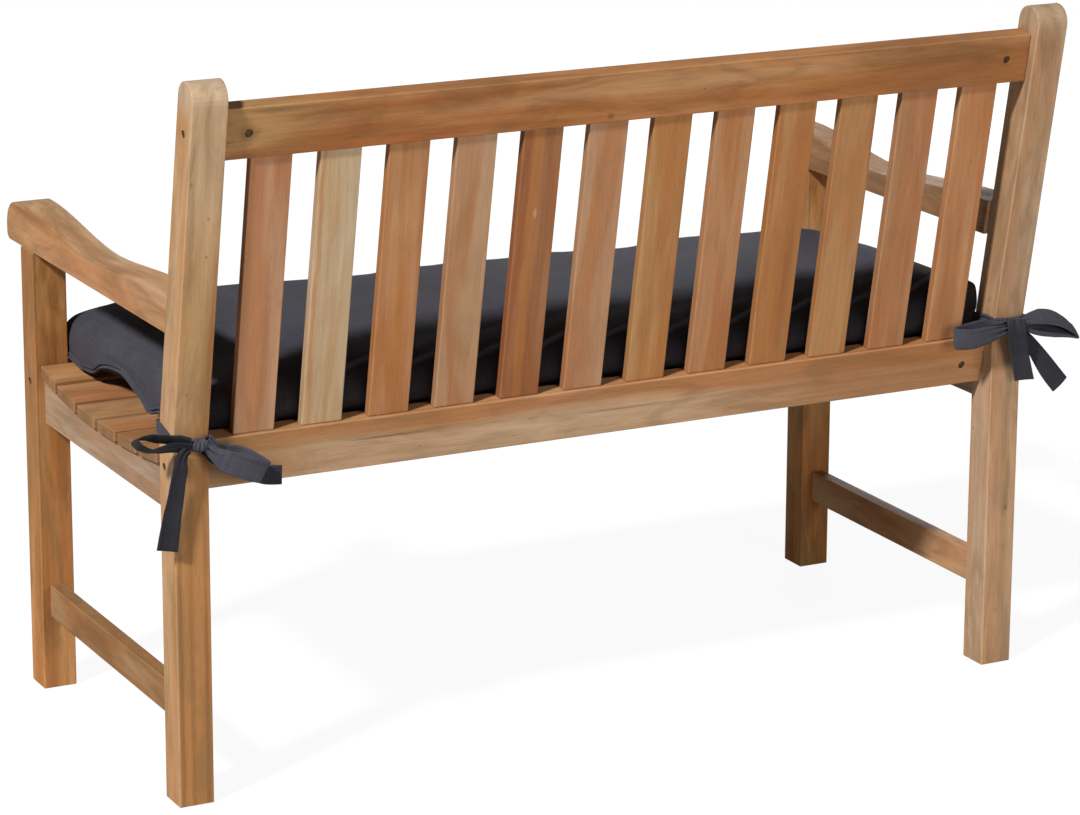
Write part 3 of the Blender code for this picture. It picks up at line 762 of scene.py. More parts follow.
    def _marked(
        self,
        sheet: NodeSheet,
        figure: bpy.types.NodeOutputs,
        at: Socket,
        tone: Socket,
        effects: SharedEffects,
    ) -> Socket:
        """Lays the board's own bands and patches over its colour.

        Args:
            sheet: The material's nodes.
            figure: Outputs of the figure group.
            at: The point in the board's own axes.
            tone: The colour so far.
            effects: The shared groups.

        Returns:
            The colour.
        """
        for band in self.bands:
            numbers = {
                "Place": band.place, "Tilt": band.tilt, "Width": band.width, "Soft": band.soft
            }
            spread = sheet.group(effects.band, Vector=at, **numbers).outputs[0]
            streaky = sheet.step(figure["Streaks"], 0.2, 0.65, (0.60, 1.0))
            share = sheet.math("MULTIPLY", sheet.math("MULTIPLY", spread, streaky), band.amount)
            tone = sheet.mix(share, tone, band.colour)
        for patch in self.patches:
            spread = sheet.group(
                effects.patch, Vector=at, Centre=patch.centre, Radii=patch.radii, Soft=patch.soft
            ).outputs[0]
            tone = sheet.mix(sheet.math("MULTIPLY", spread, patch.amount), tone, patch.colour)
        return tone


@dataclass
class Bench:
    """The plain bench: every wood node and screw keeps its CAD shape and gets its finish."""

    effects: SharedEffects
    # Of each back slat: how rosy, how pale, and its tint.
    slat_tones: tuple[tuple[float, float, Colour], ...] = (
        (0.60, 0.25, (1.12, 1.08, 1.22)),
        (0.20, 0.75, (1.08, 1.26, 1.50)),
        (0.60, 0.20, (0.99, 0.88, 0.82)),
        (0.60, 0.22, (0.96, 0.99, 1.10)),
        (0.65, 0.10, (0.72, 0.58, 0.53)),
        (0.60, 0.20, (0.96, 0.95, 1.08)),
        (0.60, 0.18, (0.91, 0.82, 0.68)),
        (0.60, 0.20, (0.91, 0.80, 0.77)),
        (0.60, 0.15, (0.89, 0.78, 0.63)),
        (0.60, 0.20, (0.87, 0.79, 0.68)),
        (0.55, 0.20, (0.88, 0.80, 0.82)),
        (0.60, 0.22, (0.95, 0.84, 0.80)),
    )
    slat_bands: dict[int, tuple[Band, ...]] = field(
        default_factory=lambda: {
            1: (Band(-0.012, 0.004, 0.010, 0.25, Teak.DARK),),
            2: (Band(0.0215, 0.001, 0.004, 0.55, Teak.ORANGE),),
            3: (Band(0.0225, 0.002, 0.006, 0.35, Teak.ORANGE),),
            5: (
                Band(0.006, 0.003, 0.008, 0.55, Teak.ORANGE),
                Band(-0.010, 0.002, 0.006, 0.35, Teak.DARK),
            ),
            8: (Band(0.010, 0.002, 0.006, 0.30, Teak.ORANGE),),
            10: (Band(-0.004, 0.003, 0.008, 0.30, Teak.ORANGE),),
        }
    )
    slat_patches: dict[int, tuple[Patch, ...]] = field(
        default_factory=lambda: {
            3: (Patch((-0.10, -0.002, 0.006), (0.14, 0.010, 0.020), 0.6, 0.55, Teak.ORANGE),),
            5: (Patch((0.068, 0.002, 0.006), (0.006, 0.002, 0.004), 0.5, 0.70, Teak.PALE),),
            6: (Patch((0.04, 0.010, 0.006), (0.10, 0.006, 0.020), 0.6, 0.35, Teak.ORANGE),),
            9: (Patch((-0.06, -0.012, 0.006), (0.09, 0.006, 0.020), 0.6, 0.35, Teak.DARK),),
            12: (
                Patch((-0.14, 0.004, 0.006), (0.060, 0.017, 0.020), 0.3, 0.38, (0.36, 0.15, 0.06)),
            ),
        }
    )

    UMBER = (0.27, 0.125, 0.045)
    CLAY = (0.38, 0.170, 0.062)
    KNOT = (0.16, 0.080, 0.035)
    KNOT_RING = (0.34, 0.200, 0.100)
    SEAT_TINTS = ((0.86, 0.80, 0.74), (0.80, 0.74, 0.72), (0.84, 0.80, 0.78))
    SEAT_LIGHT = 1.12
    # Screw head metal, near black as painted shade of the screw recesses; the darker second colour
    # marks tarnish.
    METAL_IN_RECESS_SHADE = ((0.12, 0.075, 0.040), (0.022, 0.013, 0.008))

    def rails(self) -> dict[str, Teak]:
        """Returns the finishes of the two rails of the back and of the front boards."""
        top = Teak(
            Grain.RAIL, 3.1, red=0.55, pale=0.26, orange=0.5, smoke=0.22, mottle=0.20,
            pith=(0.16, 0.05), tint=(0.82, 0.62, 0.46),
            bands=(
                Band(0.0757, 0.007, 0.013, 0.80, (0.32, 0.115, 0.032), tilt=-0.214),
                Band(0.030, 0.003, 0.007, 0.30, (0.48, 0.29, 0.14)),
                Band(-0.010, 0.003, 0.010, 0.40, (0.36, 0.135, 0.040), tilt=0.03),
                Band(0.012, 0.004, 0.008, 0.35, (0.50, 0.31, 0.155), tilt=-0.02),
            ),
            patches=(
                Patch((0.530, 0.010, 0.0), (0.10, 0.034, 0.06), 0.6, 0.62, (0.50, 0.31, 0.130)),
                Patch((0.478, 0.026, 0.0), (0.05, 0.003, 0.06), 0.8, 0.55, (0.20, 0.110, 0.045)),
                Patch((0.522, 0.001, 0.0), (0.013, 0.009, 0.06), 0.5, 0.55, (0.23, 0.140, 0.060)),
                Patch((0.400, 0.016, 0.0), (0.06, 0.006, 0.06), 0.8, 0.40, (0.24, 0.120, 0.045)),
                Patch((-0.05, 0.012, 0.0), (0.16, 0.014, 0.06), 0.6, 0.30, (0.50, 0.31, 0.155)),
                Patch((0.0462, -0.0234, 0.0), (0.0045, 0.0038, 0.04), 0.5, 0.85, Teak.DARK),
                Patch((-0.45, 0.0, 0.0), (0.16, 0.040, 0.06), 0.6, 0.75, (0.27, 0.110, 0.036)),
                Patch((0.36, -0.004, 0.0), (0.12, 0.020, 0.06), 0.6, 0.40, (0.42, 0.150, 0.045)),
            ),
        )
        low = Teak(
            Grain.RAIL, 5.7, red=0.45, pale=0.38, orange=0.4, smoke=0.28, mottle=0.14,
            pith=(-0.14, 0.05), tint=(0.98, 0.96, 0.97),
            bands=(
                Band(0.024, 0.008, 0.006, 0.55, (0.42, 0.165, 0.055)),
                Band(-0.014, 0.016, 0.010, 0.60, (0.57, 0.41, 0.26)),
                Band(0.002, 0.001, 0.005, 0.40, (0.30, 0.165, 0.070), tilt=0.02),
                Band(-0.012, 0.001, 0.004, 0.30, (0.33, 0.190, 0.085), tilt=-0.02),
            ),
            patches=(
                Patch((-0.46, 0.0, 0.0), (0.26, 0.06, 0.06), 0.5, 0.72, (0.35, 0.145, 0.052)),
                Patch((0.50, 0.004, 0.0), (0.08, 0.05, 0.06), 0.6, 0.50, (0.42, 0.20, 0.070)),
                Patch((0.05, -0.004, 0.0), (0.18, 0.020, 0.06), 0.5, 0.40, (0.62, 0.45, 0.29)),
                Patch((0.31, 0.006, 0.0), (0.05, 0.0012, 0.06), 0.8, 0.75, (0.20, 0.105, 0.050)),
                Patch((-0.02, 0.000, 0.0), (0.05, 0.0016, 0.06), 0.8, 0.55, (0.22, 0.120, 0.055)),
            ),
        )
        strip = Teak(Grain.SEATWISE, 8.2, tint=(0.88, 0.84, 0.80))
        apron = Teak(Grain.LENGTHWISE, 9.4, pith=(0.15, 0.05), tint=(0.95, 0.92, 0.90))
        return {
            "top_rail": top,
            "lower_rail": low,
            "seat_front_strip": strip,
            "front_apron": apron,
        }

    def posts(self) -> dict[str, Teak]:
        """Returns the finishes of the two rear posts."""
        knot, ring = self.KNOT, self.KNOT_RING
        near = Teak(
            Grain.POST, 21.0, red=0.30, pale=0.50, orange=0.45, smoke=0.34, mottle=0.15,
            streaks=0.75, pith=(0.02, -0.09), tint=(1.04, 1.10, 1.18),
            bands=(
                Band(0.002, 0.0015, 0.006, 0.38, (0.34, 0.220, 0.092)),
                Band(-0.013, 0.003, 0.006, 0.30, (0.55, 0.37, 0.20)),
                Band(0.019, 0.001, 0.004, 0.35, (0.47, 0.22, 0.09)),
            ),
            patches=(
                Patch((0.07, 0.004, 0.026), (0.20, 0.026, 0.012), 0.5, 0.50, (0.55, 0.31, 0.125)),
                Patch((0.02, -0.017, 0.024), (0.14, 0.008, 0.012), 0.5, 0.6, (0.4, 0.165, 0.05)),
                Patch((-0.06, 0.000, 0.024), (0.05, 0.012, 0.012), 0.7, 0.45, (0.42, 0.22, 0.060)),
                Patch((-0.3, -0.008, 0.026), (0.3, 0.034, 0.03), 0.4, 0.85, (0.44, 0.195, 0.06)),
                Patch((-0.33, 0.017, 0.024), (0.26, 0.003, 0.01), 0.7, 0.6, (0.23, 0.105, 0.035)),
                Patch((-0.36, 0.003, 0.024), (0.22, 0.003, 0.01), 0.8, 0.45, (0.26, 0.12, 0.04)),
                Patch((-0.36, -0.016, 0.024), (0.22, 0.003, 0.01), 0.7, 0.6, (0.25, 0.1, 0.032)),
                Patch((0.13, -0.019, 0.022), (0.1, 0.004, 0.01), 0.6, 0.65, (0.36, 0.135, 0.035)),
                Patch((0.29, 0.014, 0.022), (0.05, 0.003, 0.010), 0.8, 0.50, (0.30, 0.170, 0.070)),
                Patch((0.3317, 0.0185, 0.022), (0.003, 0.0015, 0.006), 0.5, 0.80, knot),
                Patch((0.24, -0.006, 0.022), (0.002, 0.0012, 0.006), 0.5, 0.70, knot),
                Patch((0.415, -0.012, 0.022), (0.010, 0.006, 0.006), 0.9, 0.40, knot),
                # Pale grey top end: greyed end grain, partly a painted sheen of the top-lit cap.
                Patch((0.455, 0.0, 0.0), (0.040, 0.05, 0.05), 0.5, 0.65, (0.60, 0.46, 0.32)),
                Patch((0.37, 0.0, 0.026), (0.10, 0.026, 0.012), 0.6, 0.50, (0.64, 0.46, 0.29)),
            ),
        )
        far = Teak(
            Grain.POST, 61.0, red=0.15, pale=0.55, orange=0.12, smoke=0.36, mottle=0.16,
            streaks=0.70, pith=(-0.03, -0.09), tint=(0.88, 0.94, 1.12),
            bands=(
                Band(0.015, 0.003, 0.008, 0.35, (0.46, 0.22, 0.10)),
                Band(-0.006, 0.002, 0.006, 0.35, (0.32, 0.215, 0.115)),
            ),
            patches=(
                # Grey top end: greyed end grain, partly a painted sheen.
                Patch((0.455, 0.0, 0.0), (0.040, 0.05, 0.05), 0.5, 0.55, (0.42, 0.31, 0.20)),
                Patch((-0.235, -0.007, 0.022), (0.007, 0.0040, 0.010), 0.6, 0.45, ring),
                Patch((-0.235, -0.007, 0.022), (0.003, 0.0020, 0.010), 0.5, 0.75, knot),
                Patch((-0.288, -0.006, 0.022), (0.005, 0.0030, 0.010), 0.6, 0.70, ring),
                Patch((-0.377, 0.003, 0.022), (0.004, 0.0025, 0.010), 0.6, 0.60, ring),
                Patch((-0.33, -0.004, 0.022), (0.1, 0.004, 0.01), 0.8, 0.35, (0.3, 0.195, 0.1)),
            ),
        )
        return {"rear_post_left": near, "rear_post_right": far}

    def slats(self) -> dict[str, Teak]:
        """Returns the finishes of the slats of the back."""
        made = {}
        for index, (red, pale, tint) in enumerate(self.slat_tones, start=1):
            made[f"back_slat_{index}"] = Teak(
                # Painted shade on the slats' side faces.
                Grain.LEANING, 11.0 + 3.7 * index, red=red, pale=pale, tint=tint, flank=0.30,
                streaks=0.40, mottle=0.07, smoke=0.10,
                pith=(0.05 * math.sin(index * 2.4), 0.05), bands=self.slat_bands.get(index, ()),
                patches=self.slat_patches.get(index, ()),
            )
        return made

    def seat(self) -> dict[str, Teak]:
        """Returns the finishes of the slats of the seat, each with its darker end grain."""
        made = {}
        for index in range(1, 7):
            made[f"seat_slat_{index}"] = Teak(
                Grain.SEATWISE, 61.0 + 2.9 * index, red=0.25 + 0.5 * (index % 2),
                pale=0.38 - 0.1 * (index % 3), orange=0.55,
                tint=tuple(self.SEAT_LIGHT * part for part in self.SEAT_TINTS[index % 3]),
                patches=(
                    Patch((0.600, 0.0, 0.0), (0.006, 0.1, 0.1), 0.3, 0.88, (0.21, 0.115, 0.055)),
                ),
            )
        return made

    def ends(self) -> dict[str, Teak]:
        """Returns the finishes of the front legs, armrests, aprons and stretchers of both ends."""
        made = {}
        umber, clay = self.UMBER, self.CLAY
        for side, seed, shade in (("left", 0.0, 1.0), ("right", 40.0, 0.60)):
            made[f"front_leg_{side}"] = Teak(
                Grain.POST, 23.3 + seed, red=0.45, pale=0.30, orange=0.6, smoke=0.36,
                mottle=0.20, streaks=0.75, tint=(0.98, 0.84, 0.62),
                patches=(
                    Patch((0.16, 0.022, 0.0), (0.24, 0.003, 0.08), 0.4, 0.6, (0.28, 0.13, 0.05)),
                    Patch((0.19, -0.004, 0.02), (0.06, 0.005, 0.02), 0.8, 0.50, umber),
                    Patch((0.00, -0.012, 0.02), (0.08, 0.005, 0.02), 0.8, 0.45, umber),
                    Patch((-0.10, 0.003, 0.02), (0.07, 0.006, 0.02), 0.8, 0.45, umber),
                ),
            )
            made[f"armrest_{side}"] = Teak(
                Grain.ARM, 25.1 + seed, red=0.35, pale=0.42, orange=0.45, smoke=0.34,
                # Painted shade on the armrests' side faces.
                mottle=0.18, streaks=0.70, flank=0.36,
                tint=(1.22 * shade, 1.24 * shade, 1.34 * shade),
                patches=(
                    Patch((-0.26, 0.0, 0.0), (0.05, 0.06, 0.06), 0.5, 0.45, (0.44, 0.260, 0.135)),
                    Patch((-0.17, 0.026, -0.020), (0.075, 0.008, 0.006), 0.9, 0.70, umber),
                    Patch((-0.10, 0.026, -0.012), (0.050, 0.008, 0.004), 0.9, 0.60, clay),
                    Patch((-0.01, 0.026, -0.036), (0.060, 0.008, 0.004), 0.9, 0.55, clay),
                    Patch((0.03, 0.026, -0.017), (0.040, 0.008, 0.004), 0.9, 0.60, umber),
                    Patch((0.15, 0.026, -0.026), (0.060, 0.008, 0.005), 0.9, 0.50, clay),
                    Patch((0.08, 0.010, -0.010), (0.060, 0.006, 0.040), 0.9, 0.40, clay),
                    Patch((-0.08, -0.006, -0.010), (0.080, 0.006, 0.060), 0.9, 0.35, clay),
                ),
            )
            made[f"side_apron_{side}"] = Teak(
                Grain.FORWARD, 27.9 + seed, red=0.40, pale=0.50, tint=(0.77, 0.88, 1.14)
            )
            made[f"side_stretcher_{side}"] = Teak(
                Grain.FORWARD, 29.3 + seed, red=0.45, pale=0.35, smoke=0.34, mottle=0.20,
                streaks=0.70, tint=(0.67, 0.65, 0.56) if side == "left" else (0.88, 0.84, 0.85),
                patches=(
                    Patch((-0.20, 0.0, 0.01), (0.04, 0.018, 0.008), 0.7, 0.45, (0.46, 0.30, 0.17)),
                    Patch((0.00, 0.006, 0.01), (0.06, 0.010, 0.008), 0.9, 0.50, umber),
                    Patch((0.09, 0.004, 0.01), (0.05, 0.01, 0.008), 0.9, 0.45, (0.44, 0.28, 0.15)),
                ),
            )
        return made

    def build(self) -> None:
        """Dresses the boards and the screw heads."""
        finishes = {**self.rails(), **self.posts(), **self.slats(), **self.seat(), **self.ends()}
        for name, finish in finishes.items():
            finish.dress(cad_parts[name], self.effects)
            log.info("dressed %s", name)
        metal = self.screw_metal()
        for name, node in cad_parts.items():
            if "_screw_" in name:
                wear(node, metal)
                log.info("dressed %s", name)

    def screw_metal(self) -> bpy.types.Material:
        """Returns the screw heads' metal, near black as painted shade of their recesses, and
        darker still where tarnished.
        """
        material, sheet, shader = new_material("dulled screw metal")
        at = sheet.add("ShaderNodeTexCoord").outputs["Object"]
        tarnish = sheet.noise(at, 420.0, 3.0, 0.6)
        colour = sheet.mix(sheet.step(tarnish, 0.4, 0.7), *self.METAL_IN_RECESS_SHADE)
        sheet.feed(shader.inputs["Base Color"], colour)
        sheet.feed(shader.inputs["Roughness"], sheet.step(tarnish, 0.3, 0.7, (0.30, 0.55)))
        shader.inputs["Metallic"].default_value = 0.9
        return material


# ---------------------------------------------------------------- cloth

# Where a point lies across and along its strip, kept on the strip's mesh for the weave.
STRIP_LAYER = "cloth_at"


class ClothLay(Enum):
    """How the weave lies on a piece: by the model's axes, or along a strip."""

    FLAT = "flat"
    STRIP = "strip"


@dataclass(frozen=True)
class CharcoalCloth:
    """Matt charcoal outdoor cloth in plain weave."""

    lay: ClothLay
    name: str = "charcoal cloth"
    # How much lighter or darker this copy is than the cushion's cloth; the tie copies use it as
    # painted light and painted shade.
    strength: float = 1.0
    base: Colour = (0.049, 0.047, 0.059)
    worn: Colour = (0.067, 0.065, 0.080)
    deep: Colour = (0.027, 0.025, 0.032)
    base_share: float = 0.62
    pitch: float = 0.0011
    hem: float = 0.0105
    stitch_dark: float = 0.20
    slub_range: tuple[float, float] = (0.86, 1.16)
    thread_range: tuple[float, float] = (0.90, 1.10)
    roughness: tuple[float, float] = (0.82, 0.92)
    specular: float = 0.10
    sheen: tuple[float, float] = (0.03, 0.5)
    relief: tuple[float, float] = (0.35, 0.0003)

    def material(self, effects: SharedEffects) -> bpy.types.Material:
        """Builds the finish.

        Args:
            effects: The shared groups.

        Returns:
            The material.
        """
        material, sheet, shader = new_material(self.name)
        place = sheet.add("ShaderNodeTexCoord").outputs["Object"]
        if self.lay is ClothLay.STRIP:
            own = sheet.add("ShaderNodeAttribute", attribute_name=STRIP_LAYER).outputs["Vector"]
        else:
            own = self._by_facing(sheet, place)
        weave = sheet.group(effects.weave, Vector=own, Pitch=self.pitch).outputs
        broad = sheet.noise(place, 7.0, 3.0, 0.55)
        deep, worn, base = (
            tuple(part * self.strength for part in c) for c in (self.deep, self.worn, self.base)
        )
        tone = sheet.mix(sheet.step(broad, 0.35, 0.65), deep, worn)
        tone = sheet.mix(self.base_share, tone, base)
        tone = sheet.scaled(tone, sheet.step(weave["Slubs"], 0.38, 0.62, self.slub_range))
        tone = sheet.scaled(tone, sheet.step(weave["Threads"], -0.8, 0.8, self.thread_range))
        height = sheet.math("ADD", weave["Threads"], sheet.math("MULTIPLY", weave["Slubs"], 2.0))
        if self.lay is ClothLay.STRIP:
            across = sheet.math("ABSOLUTE", sheet.split(own)[0])
            off = sheet.math("ABSOLUTE", sheet.math("SUBTRACT", across, self.hem))
            stitch = sheet.step(off, 0.0012, 0.0003)
            tone = sheet.mix(sheet.math("MULTIPLY", stitch, self.stitch_dark), tone, deep)
            height = sheet.math("SUBTRACT", height, sheet.math("MULTIPLY", stitch, 1.5))
        sheet.feed(shader.inputs["Base Color"], tone)
        sheet.feed(shader.inputs["Roughness"], sheet.step(broad, 0.3, 0.7, self.roughness))
        shader.inputs["Specular IOR Level"].default_value = self.specular
        shader.inputs["Sheen Weight"].default_value = self.sheen[0]
        shader.inputs["Sheen Roughness"].default_value = self.sheen[1]
        sheet.bump(shader, height, *self.relief)
        return material

    @staticmethod
    def _by_facing(sheet: NodeSheet, place: Socket) -> Socket:
        """Picks the two weave directions that lie in the surface, by which way it faces.

        Args:
            sheet: The material's nodes.
            place: The point on the model.

        Returns:
            The point along and across the threads.
        """
        x, y, z = sheet.split(place)
        normal = sheet.add("ShaderNodeNewGeometry").outputs["Normal"]
        nx, ny, nz = sheet.split(sheet.vector("ABSOLUTE", normal))
        level = sheet.math("GREATER_THAN", nz, 0.7)
        endways = sheet.math("GREATER_THAN", nx, ny)
        upright_end = sheet.math("MULTIPLY", endways, sheet.math("SUBTRACT", 1.0, level))
        ways = []
        for share, usual, other in ((upright_end, x, y), (level, z, y)):
            node = sheet.add("ShaderNodeMix", data_type="FLOAT")
            for index, value in ((0, share), (2, usual), (3, other)):
                sheet.feed(node.inputs[index], value)
            ways.append(node.outputs[0])
        return sheet.join(*ways, 0.0)


def mesh_piece(
    name: str, points: np.ndarray, faces: Faces, material: bpy.types.Material
) -> bpy.types.Object:
    """Makes a smooth mesh object.

    Args:
        name: The object's name.
        points: Its points in the model's frame.
        faces: Its faces.
        material: Its finish.

    Returns:
        The object, linked to the scene.
    """
    mesh = bpy.data.meshes.new(name)
    mesh.from_pydata([tuple(p) for p in points], [], [list(face) for face in faces])
    mesh.validate()
    mesh.polygons.foreach_set("use_smooth", [True] * len(mesh.polygons))
    mesh.materials.append(material)
    piece = bpy.data.objects.new(name, mesh)
    bpy.context.scene.collection.objects.link(piece)
    return piece


def finish_cloth(piece: bpy.types.Object, stands_for: str | None = None) -> None:
    """Args:
        piece: The piece.
        stands_for: The CAD node that it replaces, if it replaces one.
    """
    modifier = piece.modifiers.new("round", "SUBSURF")
    modifier.levels = 1
    modifier.render_levels = 1
    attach(piece, BODY)
    if stands_for:
        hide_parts(stands_for)


def spread_noise(seed: int, count: int, passes: int) -> np.ndarray:
    """Makes a smooth random row of values from -1 to 1, the same each run.

    Args:
        seed: The seed of its draws.
        count: How many values.
        passes: How often it is smoothed.

    Returns:
        The values.
    """
    row = np.random.default_rng(seed).uniform(-1, 1, count)
    for _ in range(passes):
        row = (np.roll(row, 1) + 2 * row + np.roll(row, -1)) / 4
    return row / np.abs(row).max()


def ramp(value: np.ndarray, start: float, run: float) -> np.ndarray:
    """Returns 0 up to the start, 1 from a run later on, and an eased share between them."""
    share = np.clip((value - start) / run, 0, 1)
    return share**2 * (3 - 2 * share)


@dataclass
class BenchCushion:
    """The filled cushion: crowned top that rounds down to one low seam, and a flat underside."""

    effects: SharedEffects
    half_x: float = 0.5535
    rear: float = -0.0455
    front: float = -0.5260
    corner_low: float = 0.006
    corner_high: float = 0.006
    drawn_x: float = 0.005
    drawn_y: float = 0.005
    rear_lean: float = 0.022
    shoulder_z: float = 0.4960
    rear_rise: float = 0.012
    crown: float = 0.026
    fold_height: float = 0.0035
    fold_pitch: float = 0.350
    fold_start: float = 0.020
    seam_lift: float = 0.016
    rest_gap: float = 0.0010
    cell: float = 0.0082
    wall_rows: int = 8
    round_over: float = 0.026
    round_drop: float = 0.015
    round_passes: int = 3
    round_share: float = 0.6
    low_row_share: float = 0.25
    frames: int = 20
    cap: float = 0.006
    end_hold: float = 0.75
    far_rise: float = 0.019
    far_squared: float = 0.75
    corner_drop: float = 0.008
    crown_powers: tuple[float, float] = (6.4, 3.2)
    arch: float = 0.034
    arch_y: float = -0.305
    arch_reach: float = 0.130
    wall_bulge: float = 0.0035
    rear_bulge: float = 0.0085
    crease_depth: float = 0.0050
    crease_y: float = -0.325
    crease_reach: float = 0.155
    crease_height: float = 0.13
    seat_y: float = -0.280
    seat_low: float = 0.4195
    seat_high: float = 0.442
    seat_curves: tuple[float, float] = (0.60, 0.26)
    rail_face: float = 0.0377
    slat_face: float = 0.0285
    rail_clear: float = 0.0012
    slat_clear: float = 0.0015
    post_x: float = 0.5540
    side_x: float = 0.566
    front_dips: tuple[tuple[float, float], ...] = (
        (-0.600, -0.0030), (-0.500, -0.0060), (-0.440, -0.0060), (-0.340, -0.0080),
        (-0.260, -0.0100), (-0.190, -0.0030), (-0.130, 0.0010), (-0.050, -0.0040),
        (0.030, -0.0050), (0.100, -0.0020), (0.200, 0.0010), (0.340, -0.0010),
        (0.600, 0.0020),
    )
    near_seam: tuple[tuple[float, float], ...] = (
        (-0.5100, 0.458), (-0.4720, 0.448), (-0.4320, 0.443), (-0.3880, 0.4485),
        (-0.3700, 0.4590), (-0.3360, 0.4680), (-0.2960, 0.4705), (-0.2630, 0.4665),
        (-0.2350, 0.4590), (-0.2130, 0.4490), (-0.2070, 0.4430), (-0.1880, 0.4440),
        (-0.1590, 0.4560), (-0.1200, 0.4520), (-0.0800, 0.4530), (-0.0440, 0.4560),
    )
    # Out and up from the seam's line, round its doubled edge.
    seam_profile: tuple[tuple[float, float], ...] = (
        (-0.0040, 0.0052), (0.0004, 0.0050), (0.0034, 0.0044), (0.0042, 0.0030),
        (0.0030, 0.0017), (0.0004, 0.0010), (0.0006, 0.0002), (0.0036, -0.0006),
        (0.0050, -0.0018), (0.0042, -0.0032), (0.0010, -0.0038), (-0.0040, -0.0030),
    )
    seam_wave: float = 0.0012
    seam_waver: float = 0.0013

    EDGE_STEPS = (0.0, 0.0022, 0.0055, 0.0100, 0.0160, 0.0230)
    FILLING = {
        "quality": 5,
        "mass": 0.25,
        "tension_stiffness": 14,
        "compression_stiffness": 10,
        "shear_stiffness": 5,
        "bending_stiffness": 0.6,
        "use_pressure": True,
        "uniform_pressure_force": 4.0,
        "shrink_min": -0.012,
        "vertex_group_mass": "held",
    }

    @property
    def half_y(self) -> float:
        """Returns half the cushion's depth."""
        return (self.rear - self.front) / 2

    def seat(self, y: np.ndarray) -> np.ndarray:
        """Returns the height of the hollow seat at each y of the measured frame."""
        curve = np.where(y < self.seat_y, *self.seat_curves)
        return np.minimum(self.seat_low + curve * (y - self.seat_y) ** 2, self.seat_high)

    def plan(self, u: np.ndarray, v: np.ndarray, corner: float) -> tuple[np.ndarray, np.ndarray]:
        """Lays the outline, drawn in between its corners.

        Args:
            u: Places along the cushion, from -1 to 1.
            v: Places across it, from -1 to 1.
            corner: How far its corners are rounded off.

        Returns:
            x and y in the measured frame.
        """
        middle = (self.rear + self.front) / 2
        x = u * (self.half_x - self.drawn_x * (1 - v**2) - corner * v**12)
        y = middle + v * (self.half_y - self.drawn_y * (1 - u**2) - corner * u**20)
        return x, y

    def top(self, u: np.ndarray, v: np.ndarray) -> np.ndarray:
        """Shapes the upper panel: its crown, its folds and its fuller far end.

        Args:
            u: Places along the cushion, from -1 to 1.
            v: Places across it, from -1 to 1.

        Returns:
            Its points.
        """
        x, y = self.plan(u, v, self.corner_high)
        y = y + self.rear_lean * ((1 + v) / 2) ** 4
        drop = self.corner_drop * u**12 * ((1 - v) / 2) ** 12
        shoulder = self.shoulder_z + self.rear_rise * (1 + v) / 2 - drop
        along, across = self.crown_powers
        crown = (1 - np.abs(u) ** along) * (1 - np.abs(v) ** across)
        wave = self.fold_height * np.cos(2 * math.pi * (x - self.fold_start) / self.fold_pitch)
        over_x = np.clip(1 - (1 - np.abs(u)) * self.half_x / self.round_over, 0, 1)
        over_y = np.clip(1 - (1 - np.abs(v)) * self.half_y / self.round_over, 0, 1)
        over = np.minimum(np.hypot(over_x, over_y), 1)
        rounded = self.round_drop * (1 - np.sqrt(1 - over**2))
        far = ramp(-x, 0.400, 0.125)
        puffed = self.far_rise * far * ramp(y, -0.490, 0.090)
        rounded = rounded * (1 - self.far_squared * far * ramp(y, -0.100, 0.040))
        dip = np.interp(x, *zip(*self.front_dips)) * ramp(-y, 0.250, 0.130)
        z = shoulder + self.crown * crown + wave * (1 - u**4) - rounded + puffed + dip
        return np.stack((x, y, z), axis=-1)

    def bottom(self, u: np.ndarray, v: np.ndarray) -> np.ndarray:
        """Shapes the lower panel, which lies on the hollow seat and lifts at its seam.

        Args:
            u: Places along the cushion, from -1 to 1.
            v: Places across it, from -1 to 1.

        Returns:
            Its points.
        """
        x, y = self.plan(u, v, self.corner_low)
        long_edge = np.abs(v) ** 16
        end_edge = np.abs(u) ** 24
        off_middle = np.minimum(np.abs(y - self.arch_y) / self.arch_reach, 1)
        arch = self.arch * np.cos(math.pi / 2 * off_middle) ** 2
        lift = self.seam_lift * (1 - (1 - end_edge) * (1 - long_edge)) + arch * end_edge
        seam = np.interp(y, *zip(*self.near_seam)) - self.seat(y) - self.rest_gap
        near = np.where(u > 0, end_edge, 0.0)
        lift = lift * (1 - near) + seam * near
        return np.stack((x, y, self.seat(y) + self.rest_gap + lift), axis=-1)

    def spaced(self, half: float) -> np.ndarray:
        """Spaces the grid, closer together where the shoulder is rounded.

        Args:
            half: Half the cushion's length that way.

        Returns:
            Places from -1 to 1.
        """
        near = np.array(self.EDGE_STEPS)
        inner = half - near[-1]
        count = 2 * int(round(inner / self.cell))
        middle = np.linspace(-inner, inner, count + 1)
        places = np.concatenate((-half + near[:-1], middle, (half - near[:-1])[::-1]))
        return places / half

